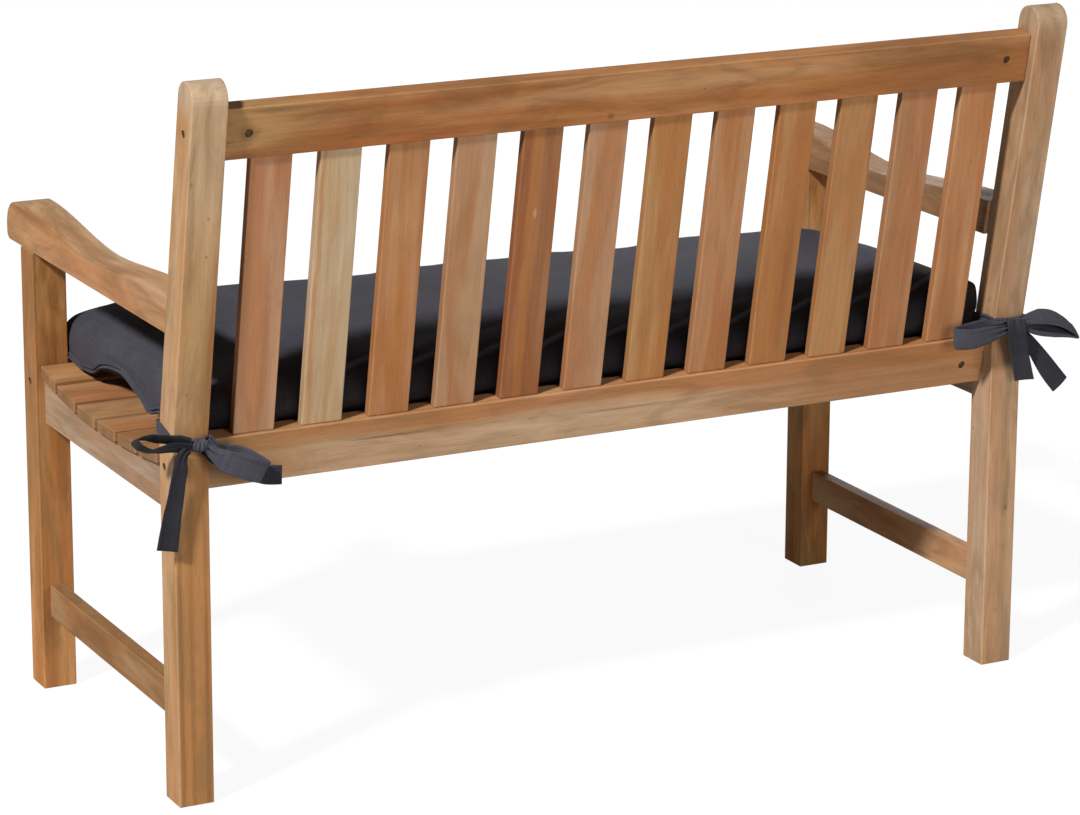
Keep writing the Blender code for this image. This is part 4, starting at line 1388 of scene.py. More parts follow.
    def shell(self) -> tuple[np.ndarray, Faces, np.ndarray, np.ndarray]:
        """Builds the closed shell.

        Returns:
            Its points, its faces, the wall's rows of point numbers from the low seam up, and
            which points are held while the cushion is filled.
        """
        u, v = np.meshgrid(self.spaced(self.half_x), self.spaced(self.half_y), indexing="ij")
        low, high = self.bottom(u, v).reshape(-1, 3), self.top(u, v).reshape(-1, 3)
        count = u.size
        grid = np.arange(count).reshape(u.shape)
        ring = np.concatenate((grid[:-1, 0], grid[-1, :-1], grid[:0:-1, -1], grid[0, :0:-1]))
        out = np.stack((u.ravel()[ring] ** 9, v.ravel()[ring] ** 9, 0 * ring), axis=-1)
        out /= np.linalg.norm(out, axis=1, keepdims=True)
        walls = self.walls(low[ring], high[ring], out)
        points = np.concatenate((low, high, *walls))
        rows = [ring]
        rows += [2 * count + k * len(ring) + np.arange(len(ring)) for k in range(len(walls))]
        rows.append(ring + count)
        a, b, c, d = grid[:-1, :-1], grid[1:, :-1], grid[1:, 1:], grid[:-1, 1:]
        quads = np.stack((a, b, c, d), axis=-1).reshape(-1, 4)
        faces = [tuple(q) for q in quads[:, ::-1]]
        faces += [tuple(q) for q in quads + count]
        for below, above in zip(rows, rows[1:]):
            after_low, after_high = np.roll(below, -1), np.roll(above, -1)
            faces += list(zip(below, after_low, after_high, above))
        held = np.zeros(len(points), bool)
        held[:count] = True
        return points, faces, np.array(rows), held

    def walls(self, low: np.ndarray, high: np.ndarray, out: np.ndarray) -> list[np.ndarray]:
        """Shapes the side wall between the seam and the shoulder.

        Args:
            low: The seam's points.
            high: The shoulder's points.
            out: The way out of the cushion at each of them.

        Returns:
            The wall's rows of points from the seam up.
        """
        rear = ramp(low[:, 1], -0.060, 0.012)
        rows = []
        for row in range(1, self.wall_rows):
            share = row / self.wall_rows
            bulge = (self.wall_bulge + self.rear_bulge * rear) * math.sin(math.pi * share)
            bulge = bulge - self.crease(low, share)
            rows.append(low * (1 - share) + high * share + out * bulge[:, None])
        return rows

    def crease(self, seam: np.ndarray, share: float) -> np.ndarray:
        """Folds the wall in above the low seam, at each end of the cushion.

        Args:
            seam: The seam's points.
            share: How far up the wall.

        Returns:
            How deep the fold is at each point of that row.
        """
        x, y = seam[:, 0], seam[:, 1]
        at_end = np.clip((np.abs(x) - 0.535) / 0.008, 0, 1)
        reach = np.clip(1 - np.abs(y - self.crease_y) / self.crease_reach, 0, 1) ** 0.5
        line = 0.40 - 0.35 * (y + 0.34)
        fold = np.exp(-(((share - line) / self.crease_height) ** 2))
        return self.crease_depth * at_end * reach * fold

    def round_shoulders(self, points: np.ndarray, faces: Faces, rows: np.ndarray) -> np.ndarray:
        """Rounds the shell where the upper panel turns down into the wall.

        Args:
            points: The shell's points.
            faces: Its faces.
            rows: The wall's rows of point numbers.

        Returns:
            The points, smoothed above the low seam.
        """
        edges = {tuple(sorted((f[i], f[(i + 1) % 4]))) for f in faces for i in range(4)}
        ends = np.array(sorted(edges))
        degree = np.bincount(ends.ravel(), minlength=len(points))[:, None]
        count = (len(points) - (self.wall_rows - 1) * rows.shape[1]) // 2
        free = np.zeros((len(points), 1))
        free[count:] = 1.0
        free[rows[1]] = self.low_row_share
        moved = points.copy()
        for _ in range(self.round_passes):
            total = np.zeros_like(moved)
            np.add.at(total, ends[:, 0], moved[ends[:, 1]])
            np.add.at(total, ends[:, 1], moved[ends[:, 0]])
            moved = moved + free * self.round_share * (total / degree - moved)
        return moved

    def fill(self, piece: bpy.types.Object, held: np.ndarray) -> None:
        """Fills the shell by a short cloth simulation and applies what it gives.

        Args:
            piece: The shell.
            held: Which of its points stay where they are.
        """
        scene = bpy.context.scene
        group = piece.vertex_groups.new(name="held")
        group.add([int(i) for i in np.flatnonzero(held)], 1.0, "REPLACE")
        cloth = piece.modifiers.new("filling", "CLOTH")
        for name, value in self.FILLING.items():
            setattr(cloth.settings, name, value)
        cloth.settings.effector_weights.gravity = 0.0
        cloth.collision_settings.use_collision = False
        cloth.point_cache.frame_start = 1
        cloth.point_cache.frame_end = self.frames
        before = np.array([v.co[:] for v in piece.data.vertices])
        for number in range(1, self.frames + 1):
            scene.frame_set(number)
        made = piece.evaluated_get(bpy.context.evaluated_depsgraph_get()).to_mesh()
        after = np.array([v.co[:] for v in made.vertices])
        piece.modifiers.remove(cloth)
        scene.frame_set(1)
        move = after - before
        far = np.linalg.norm(move, axis=1, keepdims=True)
        log.info("filling moved points by up to %.1f mm", 1000 * far.max())
        move *= np.minimum(1, self.cap / np.maximum(far, 1e-9))
        ends = ramp(np.abs(before[:, 0] - SHIFT.x), 0.460, 0.070)
        move *= (1 - self.end_hold * ends)[:, None]
        piece.data.vertices.foreach_set("co", self.kept_clear(before + move).ravel())
        piece.data.update()

    def kept_clear(self, points: np.ndarray) -> np.ndarray:
        """Keeps points off the rail, the slats, the posts and the front legs.

        Args:
            points: The cushion's points in the model's frame.

        Returns:
            The same points, moved back where they would reach the wood.
        """
        x, y, z = (points - np.array(SHIFT)).T
        leaning = (z - KNEE_Z) * math.tan(RAKE)
        rail = leaning - self.rail_face - self.rail_clear
        slats = leaning - self.slat_face - self.slat_clear
        y = np.minimum(y, np.where(z < KNEE_Z + 0.002, rail, slats))
        at_post = (y > -0.062) | (y < -0.455)
        side = np.where(at_post, self.post_x, self.side_x)
        return np.stack((np.clip(x, -side, side), y, z), axis=-1) + np.array(SHIFT)

    def build(self) -> bpy.types.Object:
        """Builds, fills and dresses the cushion, then sews its seam on.

        Returns:
            The cushion.
        """
        material = CharcoalCloth(ClothLay.FLAT).material(self.effects)
        points, faces, rows, held = self.shell()
        points = self.round_shoulders(points, faces, rows) + np.array(SHIFT)
        piece = mesh_piece("bench_cushion", points, faces, material)
        self.fill(piece, held)
        finish_cloth(piece, "cushion")
        log.info("built %s", piece.name)
        self.sew_seam(piece, rows[0], material)
        return piece

    def sew_seam(
        self, piece: bpy.types.Object, ring: np.ndarray, material: bpy.types.Material
    ) -> None:
        """Adds the doubled, slightly wavy seam along the low edge.

        Args:
            piece: The cushion.
            ring: Its point numbers along the seam.
            material: The cloth.
        """
        base = np.array([piece.data.vertices[int(i)].co[:] for i in ring])
        along = np.roll(base, -1, axis=0) - np.roll(base, 1, axis=0)
        along /= np.linalg.norm(along, axis=1, keepdims=True)
        out = np.cross(along, (0.0, 0.0, 1.0))
        out /= np.linalg.norm(out, axis=1, keepdims=True)
        up = np.cross(out, along)
        count, size = len(base), len(self.seam_profile)
        wave = self.seam_wave * spread_noise(11, count, 2)[:, None]
        lift = self.seam_waver * spread_noise(12, count, 2)[:, None]
        rings = [base + out * (a + wave) + up * (b + lift) for a, b in self.seam_profile]
        points = np.stack(rings, axis=1).reshape(-1, 3)
        faces = []
        for i in range(count):
            j = (i + 1) % count
            for k in range(size):
                m = (k + 1) % size
                faces.append((i * size + k, j * size + k, j * size + m, i * size + m))
        seam = mesh_piece("cushion_low_seam", points, faces, material)
        finish_cloth(seam)
        log.info("built %s", seam.name)


# ---------------------------------------------------------------- ties


@dataclass(frozen=True)
class Station:
    """A place on a tie's route: its middle, half width and the direction across it."""

    at: Vector
    half: float
    across: Vector


@dataclass(frozen=True)
class Route:
    """The way of a loop or a free end from its knot, in the measured frame.

    Each row holds x, y and z, the share of the tie's width there and, where it differs, the
    direction across the strip. A loop also says how it comes home to the knot.
    """

    node: str
    rows: tuple[tuple, ...]
    out: Triple
    across: Triple
    across_end: Triple | None = None
    turn_by: int | None = None
    home: Triple | None = None
    home_across: Triple | None = None
    share: float = 0.38
    cup: float = 0.0
    seed: int = 1
    # Whether the strip takes the cloth copy darkened as painted shade.
    dark: bool = False


@dataclass(frozen=True)
class KnotBody:
    """The rounded body of a knot: the tie wrapped over itself, its folds drawn together."""

    centre: Vector
    size: Vector
    rings: int = 30
    spokes: int = 90
    pleats: float = 6.0
    skew: float = 0.22
    waist: float = 0.10
    core: float = 0.70
    pleat_depth: float = 0.36

    def outside(self, point: Vector) -> float:
        """Measures how far a point is outside the knot, along its spoke.

        Args:
            point: The point.

        Returns:
            The distance, below zero inside the knot.
        """
        spoke = point - self.centre
        depth = math.sqrt(sum((spoke[k] / self.size[k]) ** 2 for k in range(3)))
        return spoke.length * (1 - 1 / depth)

    def surface(self, tilt: float, turn: float) -> Vector:
        """Finds a point of its surface.

        Args:
            tilt: The angle down from its top.
            turn: The angle round it.

        Returns:
            The point in the measured frame.
        """
        skewed = turn + self.skew * math.sin(3 * turn + 0.8) * math.cos(tilt)
        pleat = abs(math.sin(self.pleats * skewed + 0.4)) ** 0.55
        waist = 1.0 - self.waist * math.cos(tilt) ** 4
        size = waist * (self.core + self.pleat_depth * pleat * math.sin(tilt) ** 0.5)
        spoke = Vector(
            (
                math.cos(turn) * math.sin(tilt) * self.size.x,
                math.sin(turn) * math.sin(tilt) * self.size.y,
                math.cos(tilt) * self.size.z,
            )
        )
        return self.centre + spoke * size

    def build(self, side: str, material: bpy.types.Material) -> None:
        """Builds the knot.

        Args:
            side: The end of the bench that it is at.
            material: The cloth.
        """
        points = [
            self.surface(math.pi * i / self.rings, 2 * math.pi * j / self.spokes) + SHIFT
            for i in range(self.rings + 1)
            for j in range(self.spokes)
        ]
        faces = []
        for start in range(0, self.rings * self.spokes, self.spokes):
            after = start + self.spokes
            for j in range(self.spokes):
                n = (j + 1) % self.spokes
                faces.append((start + j, after + j, after + n, start + n))
        piece = mesh_piece(f"tie_knot_{side}", np.array(points), faces, material)
        weld = piece.modifiers.new("poles", "WELD")
        weld.merge_threshold = 0.0001
        finish_cloth(piece, f"knot_{side}")
        log.info("built %s", piece.name)


@dataclass
class TieStrip:
    """One strap, loop or tail of a bow: hemmed cloth folded double, pleated near the knot."""

    name: str
    node: str
    stations: list[Station]
    rests_on: tuple[str, ...]
    held: str = "draped"
    cup: float = 0.0
    folds: float = 2.4
    phase: float = 0.6
    seed: int = 1
    full_half: float = 0.0145
    thick: float = 0.0013
    hem_thick: float = 0.0006
    hem_from: float = 0.70
    end_thin: float = 0.6
    columns: int = 15
    steps: int = 8
    sway: float = 0.0006
    drift: float = 0.05
    most_excess: float = 1.8
    fade: float = 0.026
    both_ends: bool = False

    def fine(self) -> tuple[np.ndarray, np.ndarray, np.ndarray]:
        """Draws a smooth curve through the stations.

        Returns:
            Its middles, the directions across it and its half widths.
        """
        middles, acrosses, halves = [], [], []
        last = len(self.stations) - 1
        for index in range(last):
            around = [self.stations[min(max(index + k, 0), last)] for k in (-1, 0, 1, 2)]
            for step in range(self.steps + (index == last - 1)):
                share = step / self.steps
                square, cube = share**2, share**3
                weights = (
                    (-cube + 2 * square - share) / 2,
                    (3 * cube - 5 * square + 2) / 2,
                    (-3 * cube + 4 * square + share) / 2,
                    (cube - square) / 2,
                )
                middles.append(sum((s.at * w for s, w in zip(around, weights)), Vector()))
                across = sum((s.across * w for s, w in zip(around, weights)), Vector())
                acrosses.append(across.normalized())
                halves.append(sum(s.half * w for s, w in zip(around, weights)))
        return np.array(middles), np.array(acrosses), np.array(halves)

    def offsets(self, length: np.ndarray, half: np.ndarray, places: np.ndarray) -> np.ndarray:
        """Works out how far the cloth stands off its middle surface.

        Args:
            length: How far along the strip each row is.
            half: The strip's half width at each row.
            places: Places across the strip, from -1 to 1.

        Returns:
            The offset of each row and place: pleats, the strip's cup and its sway.
        """
        excess = np.clip(self.full_half / half - 1, 0, self.most_excess)
        height = 2 * half / (math.pi * self.folds) * np.sqrt(excess)
        drift = np.cumsum(self.drift * spread_noise(self.seed, len(half), 6))
        pleat = np.sin(math.pi * self.folds * places[None, :] + self.phase + drift[:, None])
        gone = np.minimum(length, length[-1] - length) if self.both_ends else length
        height = height * np.exp(-((gone / self.fade) ** 2))
        sway = self.sway * spread_noise(self.seed + 50, len(half), 5)
        cupped = (self.cup * half)[:, None] * (1 - places[None, :] ** 2)
        return height[:, None] * pleat + cupped + sway[:, None]

    def surface(self, places: np.ndarray) -> tuple[np.ndarray, np.ndarray]:
        """Shapes the two layers of the strip.

        Args:
            places: Places across the strip, from -1 to 1.

        Returns:
            The points of each closed ring round the strip, and how far along it each ring is.
        """
        middle, across, half = self.fine()
        ahead = np.gradient(middle, axis=0)
        steps = np.linalg.norm(np.diff(middle, axis=0), axis=1)
        length = np.concatenate(((0.0,), np.cumsum(steps)))
        normal = np.cross(ahead, across)
        normal /= np.linalg.norm(normal, axis=1, keepdims=True)
        offset = self.offsets(length, half, places)
        spread = (half[:, None] * places[None, :])[..., None]
        body = middle[:, None, :] + across[:, None, :] * spread
        body = body + normal[:, None, :] * offset[..., None]
        face = np.cross(np.gradient(body, axis=0), np.gradient(body, axis=1))
        face /= np.linalg.norm(face, axis=2, keepdims=True)
        thick = (self.thick + self.hem_thick * (np.abs(places) > self.hem_from)) / 2
        thick[[0, -1]] *= self.end_thin
        upper = body + face * thick[None, :, None]
        lower = body - face * thick[None, :, None]
        return np.concatenate((upper, lower[:, ::-1]), axis=1) + np.array(SHIFT), length

    def faces(self, count: int, ring: int) -> Faces:
        """Joins the rings and closes both ends.

        Args:
            count: How many rings.
            ring: How many points each has.

        Returns:
            The faces.
        """
        made = []
        for i in range(count - 1):
            for k in range(ring):
                m = (k + 1) % ring
                made.append((i * ring + k, i * ring + m, (i + 1) * ring + m, (i + 1) * ring + k))
        for end, turn in ((0, 1), (count - 1, -1)):
            for k in range(self.columns - 1):
                a, b = end * ring + k, end * ring + k + 1
                c, d = end * ring + ring - 2 - k, end * ring + ring - 1 - k
                made.append((a, b, c, d)[::turn][::-1])
        return made

    def build(self, material: bpy.types.Material) -> None:
        """Args:
            material: The cloth.
        """
        places = np.linspace(-1, 1, self.columns)
        loop, length = self.surface(places)
        count, ring = loop.shape[:2]
        piece = mesh_piece(self.name, loop.reshape(-1, 3), self.faces(count, ring), material)
        own = np.zeros((count, ring, 3))
        own[..., 0] = np.concatenate((places, places[::-1])) * self.full_half
        own[..., 1] = length[:, None]
        layer = piece.data.attributes.new(STRIP_LAYER, "FLOAT_VECTOR", "POINT")
        layer.data.foreach_set("vector", own.ravel())
        finish_cloth(piece, self.node)
        log.info("built %s, %.0f mm long", piece.name, 1000 * length[-1])


@dataclass
class TieBow:
    """One bow: two straps round the post, a knot, two loops and two free ends."""

    side: str
    knot: KnotBody
    routes: tuple[Route, ...]
    # Copies of one cloth: cloth is lightened as painted light at the near bow and darkened a
    # little as painted shade at the far one; dark_cloth is darkened as painted shade.
    cloth: bpy.types.Material
    dark_cloth: bpy.types.Material
    strap_z: float
    full_half: float = 0.0145
    gathered: float = 0.38
    knot_share: float = 0.34
    strap_half: float = 0.0090
    strap_low_z: float = 0.4735
    low_half: float = 0.0090
    strap_rise: float = 0.50
    inner_z: float = 0.4735
    inner_half: float = 0.0090
    strap_from: tuple[float, float] = (0.5496, -0.0482)
    inner_from: tuple[float, float] = (0.5516, -0.0462)
    from_drop: float = 0.004
    flank_gap: float = 0.0013
    turn_radius: float = 0.0026
    ease: float = 0.0015

    def leaving(self, toward: Triple, across: Vector, share: float) -> Station:
        """Finds where a strip leaves the knot's surface.

        Args:
            toward: The direction that it leaves in.
            across: The direction across it.
            share: How much of its width is left there.

        Returns:
            The station.
        """
        way = Vector(toward).normalized()
        half = self.full_half * share
        at = self.knot.centre + way * min(self.knot.size)
        edges = [across * half * k / 2 for k in range(-2, 3)]
        while min(self.knot.outside(at + edge) for edge in edges) < 0.0001:
            at = at + way * 0.0002
        return Station(at - way * 0.0015, half, across)

    def stations(self, route: Route) -> list[Station]:
        """Lays a loop's or a free end's way, turning from its first direction across to its last.

        Args:
            route: The way.

        Returns:
            Its stations, from the knot and, for a loop, back to it.
        """
        across = Vector(route.across).normalized()
        end = Vector(route.across_end or route.across).normalized()
        made = [self.leaving(route.out, across, route.share)]
        turn_by = route.turn_by or len(route.rows)
        for number, (x, y, z, share, *own) in enumerate(route.rows, start=1):
            turned = Vector(own[0]) if own else across.lerp(end, min(number / turn_by, 1.0))
            made.append(Station(Vector((x, y, z)), self.full_half * share, turned.normalized()))
        if route.home:
            back = Vector(route.home_across or end).normalized()
            made.append(self.leaving(route.home, back, self.gathered))
        return made

    def corner(
        self, at: Vector, angles: tuple[float, float], half: float, across: Vector
    ) -> list[Station]:
        """Takes a strap round an upright edge of the post.

        Args:
            at: The edge.
            angles: The directions out of the post before and after it.
            half: The strap's half width.
            across: The direction across the strap.

        Returns:
            Three stations.
        """
        made = []
        for k in range(3):
            turn = angles[0] + (angles[1] - angles[0]) * k / 2
            way = Vector((math.cos(turn), math.sin(turn), 0)) * self.turn_radius
            made.append(Station(at + way, half, across))
        return made

    def outer_strap(self, sign: int) -> list[Station]:
        """Lays the strap that goes round the post's outer side.

        Args:
            sign: 1 at the near end and -1 at the far one.

        Returns:
            Its stations from the cushion's corner to the knot.
        """
        z, low = self.strap_z, self.strap_low_z
        upright = Vector((0, 0, 1))
        raked = Vector((0, math.sin(RAKE), math.cos(RAKE)))
        aside = 0.0 if sign > 0 else math.pi
        front = -math.pi / 2 if sign > 0 else 3 * math.pi / 2
        from_x, from_y = self.strap_from
        start = Vector((sign * from_x, from_y, z - self.from_drop))
        made = [Station(start, self.full_half * self.gathered, upright)]
        past = Vector((sign * (OUTER_X - LEG / 2), -LEG - self.turn_radius - GAP, z))
        made.append(Station(past, self.strap_half, upright))
        edge_x = sign * (OUTER_X - self.ease)
        edge = Vector((edge_x, -LEG - GAP, z))
        made += self.corner(edge, (front, aside), self.strap_half, upright)
        flank = Vector((sign * (OUTER_X + self.flank_gap), -LEG / 2, (z + low) / 2))
        made.append(Station(flank, self.strap_half, upright))
        edge = Vector((edge_x, self.rear_y(low), low))
        made += self.corner(edge, (aside, math.pi / 2), self.low_half, raked)
        made.append(self.leaving((sign, -0.60, self.strap_rise), raked, self.knot_share))
        return made

    def inner_strap(self, sign: int) -> list[Station]:
        """Lays the strap that goes round the post's inner side.

        Args:
            sign: 1 at the near end and -1 at the far one.

        Returns:
            Its stations from the cushion's corner to the knot.
        """
        z, half = self.inner_z, self.inner_half
        upright = Vector((0, 0, 1))
        raked = Vector((0, math.sin(RAKE), math.cos(RAKE)))
        inward = math.pi if sign > 0 else 0.0
        from_x, from_y = self.inner_from
        start = Vector((sign * from_x, from_y, z - self.from_drop))
        made = [Station(start, min(self.full_half * self.gathered, half), upright)]
        flank = Vector((sign * (OUTER_X - LEG - self.flank_gap), -LEG / 2, z))
        made.append(Station(flank, half, upright))
        edge = Vector((sign * (OUTER_X - LEG + self.ease / 2), self.rear_y(z), z))
        made += self.corner(edge, (inward, math.pi / 2), half, raked)
        made.append(self.leaving((-sign, -0.60, self.strap_rise), raked, self.knot_share))
        return made

    @staticmethod
    def rear_y(z: float) -> float:
        """Returns where the post's rear face is at a height."""
        return (z - KNEE_Z) * math.sin(RAKE) + 2 * GAP

    def build(self) -> None:
        """Builds the knot, the straps, the loops and the free ends."""
        self.knot.build(self.side, self.cloth)
        sign = 1 if self.side == "left" else -1
        straps = (("outer", self.outer_strap(sign)), ("inner", self.inner_strap(sign)))
        for label, way in straps:
            node = f"strap_{label}_{self.side}"
            post = (f"rear_post_{self.side}",)
            strap = TieStrip(f"tie_{node}", node, way, post, folds=3.0, sway=0.0, fade=0.20)
            strap.build(self.cloth)
        knot = f"tie_knot_{self.side}"
        for route in self.routes:
            looped = route.home is not None
            strip = TieStrip(
                f"tie_{route.node}",
                route.node,
                self.stations(route),
                (knot, "lower_rail") if looped else (knot,),
                held="draped" if looped else "hung", cup=route.cup, seed=route.seed,
                phase=0.6 if looped else 1.1, both_ends=looped,
            )
            # Strips in the shade take the cloth copy darkened as painted shade.
            strip.build(self.dark_cloth if route.dark else self.cloth)


def near_bow(cloth: bpy.types.Material, dark_cloth: bpy.types.Material) -> TieBow:
    """Lays the bow on the post at +X: one loop stands out past the post, one lies on the rail.

    Args:
        cloth: The cloth of the parts in the light, a copy lightened as painted light.
        dark_cloth: The cloth of the parts that hang in the shade, a copy darkened as painted
            shade.

    Returns:
        The bow, to be built.
    """
    slant = (-0.504, 0, 0.8635)
    return TieBow(
        side="left",
        knot=KnotBody(Vector((0.5730, 0.0138, 0.4580)), Vector((0.0122, 0.0092, 0.0096))),
        strap_z=0.4690, strap_low_z=0.4590, low_half=0.0075, strap_rise=0.15, inner_z=0.4585,
        inner_half=0.0072, cloth=cloth, dark_cloth=dark_cloth,
        routes=(
            Route(
                node="loop_outer_left", across=(0, 0.45, 0.89), across_end=(0, 0.91, 0.41),
                turn_by=4, dark=True, out=(1, 0.35, 0.55), home=(1, 0.35, -0.10),
                rows=(
                    (0.5990, 0.0190, 0.4685, 0.52),
                    (0.6170, 0.0185, 0.4715, 0.68),
                    (0.6326, 0.0180, 0.4752, 0.86),
                    (0.6465, 0.0175, 0.4765, 0.92),
                    (0.6542, 0.0170, 0.4732, 0.94),
                    (0.6475, 0.0170, 0.4658, 0.92),
                    (0.6350, 0.0175, 0.4600, 0.86),
                    (0.6170, 0.0178, 0.4605, 0.80, (0, 0.74, 0.67)),
                    (0.6020, 0.0180, 0.4605, 0.62, (0, 0.55, 0.83)),
                ),
                home_across=(0, 0.50, 0.87), cup=0.06, seed=3,
            ),
            Route(
                node="loop_inner_left", across=slant, out=(-1, -0.10, 0.45),
                home=(-1, 0.55, -0.35),
                rows=(
                    (0.5510, 0.0120, 0.4500, 0.62),
                    (0.5370, 0.0070, 0.4405, 0.90),
                    (0.5150, 0.0040, 0.4320, 1.00),
                    (0.4865, 0.0105, 0.4125, 0.97),
                    (0.5080, 0.0200, 0.4210, 1.00),
                    (0.5300, 0.0235, 0.4315, 1.00),
                    (0.5440, 0.0240, 0.4380, 0.92),
                    (0.5540, 0.0225, 0.4450, 0.62),
                ),
                cup=0.08, seed=4,
            ),
            Route(
                node="tail_hanging_left", dark=True, across=(-0.10, 0, 1),
                across_end=(1, 0, 0.22), out=(1, 0.30, -0.15), share=0.40, turn_by=3,
                rows=(
                    (0.5915, 0.0195, 0.4540, 0.48),
                    (0.5965, 0.0190, 0.4450, 0.58),
                    (0.5980, 0.0175, 0.4310, 0.66),
                    (0.6005, 0.0155, 0.4160, 0.68),
                    (0.6035, 0.0140, 0.3947, 0.74),
                    (0.6083, 0.0130, 0.3708, 0.84),
                    (0.6123, 0.0125, 0.3466, 0.92),
                    (0.6146, 0.0120, 0.3314, 0.96),
                ),
                cup=0.10, seed=5,
            ),
            Route(
                node="tail_lying_left", dark=True, across=slant, across_end=(-0.02, 0, 1),
                out=(-0.80, -0.45, -0.75),
                rows=(
                    (0.5480, 0.0030, 0.4390, 0.70),
                    (0.5250, -0.0060, 0.4290, 0.85),
                    (0.4980, -0.0090, 0.4120, 0.85),
                    (0.4780, -0.0088, 0.4030, 0.85),
                    (0.4570, -0.0082, 0.4003, 0.85),
                ),
                seed=6,
            ),
        ),
    )


def far_bow(cloth: bpy.types.Material, dark_cloth: bpy.types.Material) -> TieBow:
    """Lays the bow on the post at -X: one loop lies on the rail, one stands out past the post.

    Args:
        cloth: The cloth of the parts in the light, a copy darkened a little as painted shade.
        dark_cloth: The cloth of the parts that hang in the shade, a copy darkened as painted
            shade.

    Returns:
        The bow, to be built.
    """
    return TieBow(
        side="right",
        knot=KnotBody(Vector((-0.5795, 0.0146, 0.4732)), Vector((0.0125, 0.0092, 0.0118))),
        strap_z=0.4735, cloth=cloth, dark_cloth=dark_cloth,
        routes=(
            Route(
                node="loop_inner_right", across=(0.05, 0, 1), out=(1, -0.05, 0.20),
                home=(1, 0.60, -0.10),
                rows=(
                    (-0.5530, 0.0150, 0.4710, 0.70),
                    (-0.5350, 0.0090, 0.4700, 0.95),
                    (-0.5120, 0.0060, 0.4660, 1.00),
                    (-0.4895, 0.0115, 0.4635, 1.00),
                    (-0.5120, 0.0190, 0.4620, 0.95),
                    (-0.5350, 0.0225, 0.4660, 0.80),
                    (-0.5530, 0.0225, 0.4690, 0.55),
                ),
                cup=0.10, seed=7,
            ),
            Route(
                node="loop_outer_right", across=(0, 0.80, -0.60), out=(-1, 0.30, 0.45),
                home=(-1, 0.30, -0.35),
                rows=(
                    (-0.6080, 0.0190, 0.4800, 0.75),
                    (-0.6250, 0.0180, 0.4795, 0.95),
                    (-0.6480, 0.0165, 0.4720, 1.00),
                    (-0.6680, 0.0160, 0.4590, 0.90),
                    (-0.6745, 0.0160, 0.4530, 0.85),
                    (-0.6550, 0.0160, 0.4570, 0.90),
                    (-0.6300, 0.0175, 0.4610, 0.90),
                    (-0.6080, 0.0190, 0.4640, 0.70),
                ),
                cup=-0.10, seed=8,
            ),
            Route(
                node="tail_hanging_right", dark=True, across=(1, 0, 0.03),
                out=(0.05, 0.55, 0.80), share=0.70,
                rows=(
                    (-0.5745, 0.0262, 0.4800, 0.92),
                    (-0.5750, 0.0275, 0.4690, 0.98),
                    (-0.5800, 0.0240, 0.4500, 1.00),
                    (-0.5885, 0.0190, 0.4240, 1.02),
                    (-0.5970, 0.0165, 0.3955, 1.07),
                ),
                cup=0.10, seed=9,
            ),
            Route(
                node="tail_slanting_right", dark=True, across=(-0.776, 0, 0.63),
                out=(-0.80, -0.45, -0.70),
                rows=(
                    (-0.6110, 0.0080, 0.4410, 0.65),
                    (-0.6350, 0.0090, 0.4090, 0.92),
                    (-0.6585, 0.0100, 0.3805, 0.97),
                ),
                cup=0.12, seed=10,
            ),
        ),
    )


# ---------------------------------------------------------------- studio


def stand(name: str, data: bpy.types.ID) -> bpy.types.Object:
    """Puts a camera or a light into the scene.

    Args:
        name: Its name.
        data: The camera or the light.

    Returns:
        The new object.
    """
    made = bpy.data.objects.new(name, data)
    bpy.context.scene.collection.objects.link(made)
    return made


@dataclass(frozen=True)
class SoftLamp:
    """A square soft light: where it stands, its side, its power in watts and what it faces."""

    at: Triple
    size: float
    power: float
    target: Triple = (0.0, 0.0, 0.45)

    def build(self, name: str) -> bpy.types.Object:
        """Puts the light up.

        Args:
            name: Its name.

        Returns:
            The light.
        """
        data = bpy.data.lights.new(name, "AREA")
        data.shape = "SQUARE"
        data.size = self.size
        data.energy = self.power
        lamp = stand(name, data)
        lamp.location = self.at
        way = Vector(self.target) - Vector(self.at)
        lamp.rotation_euler = way.to_track_quat("-Z", "Y").to_euler()
        return lamp


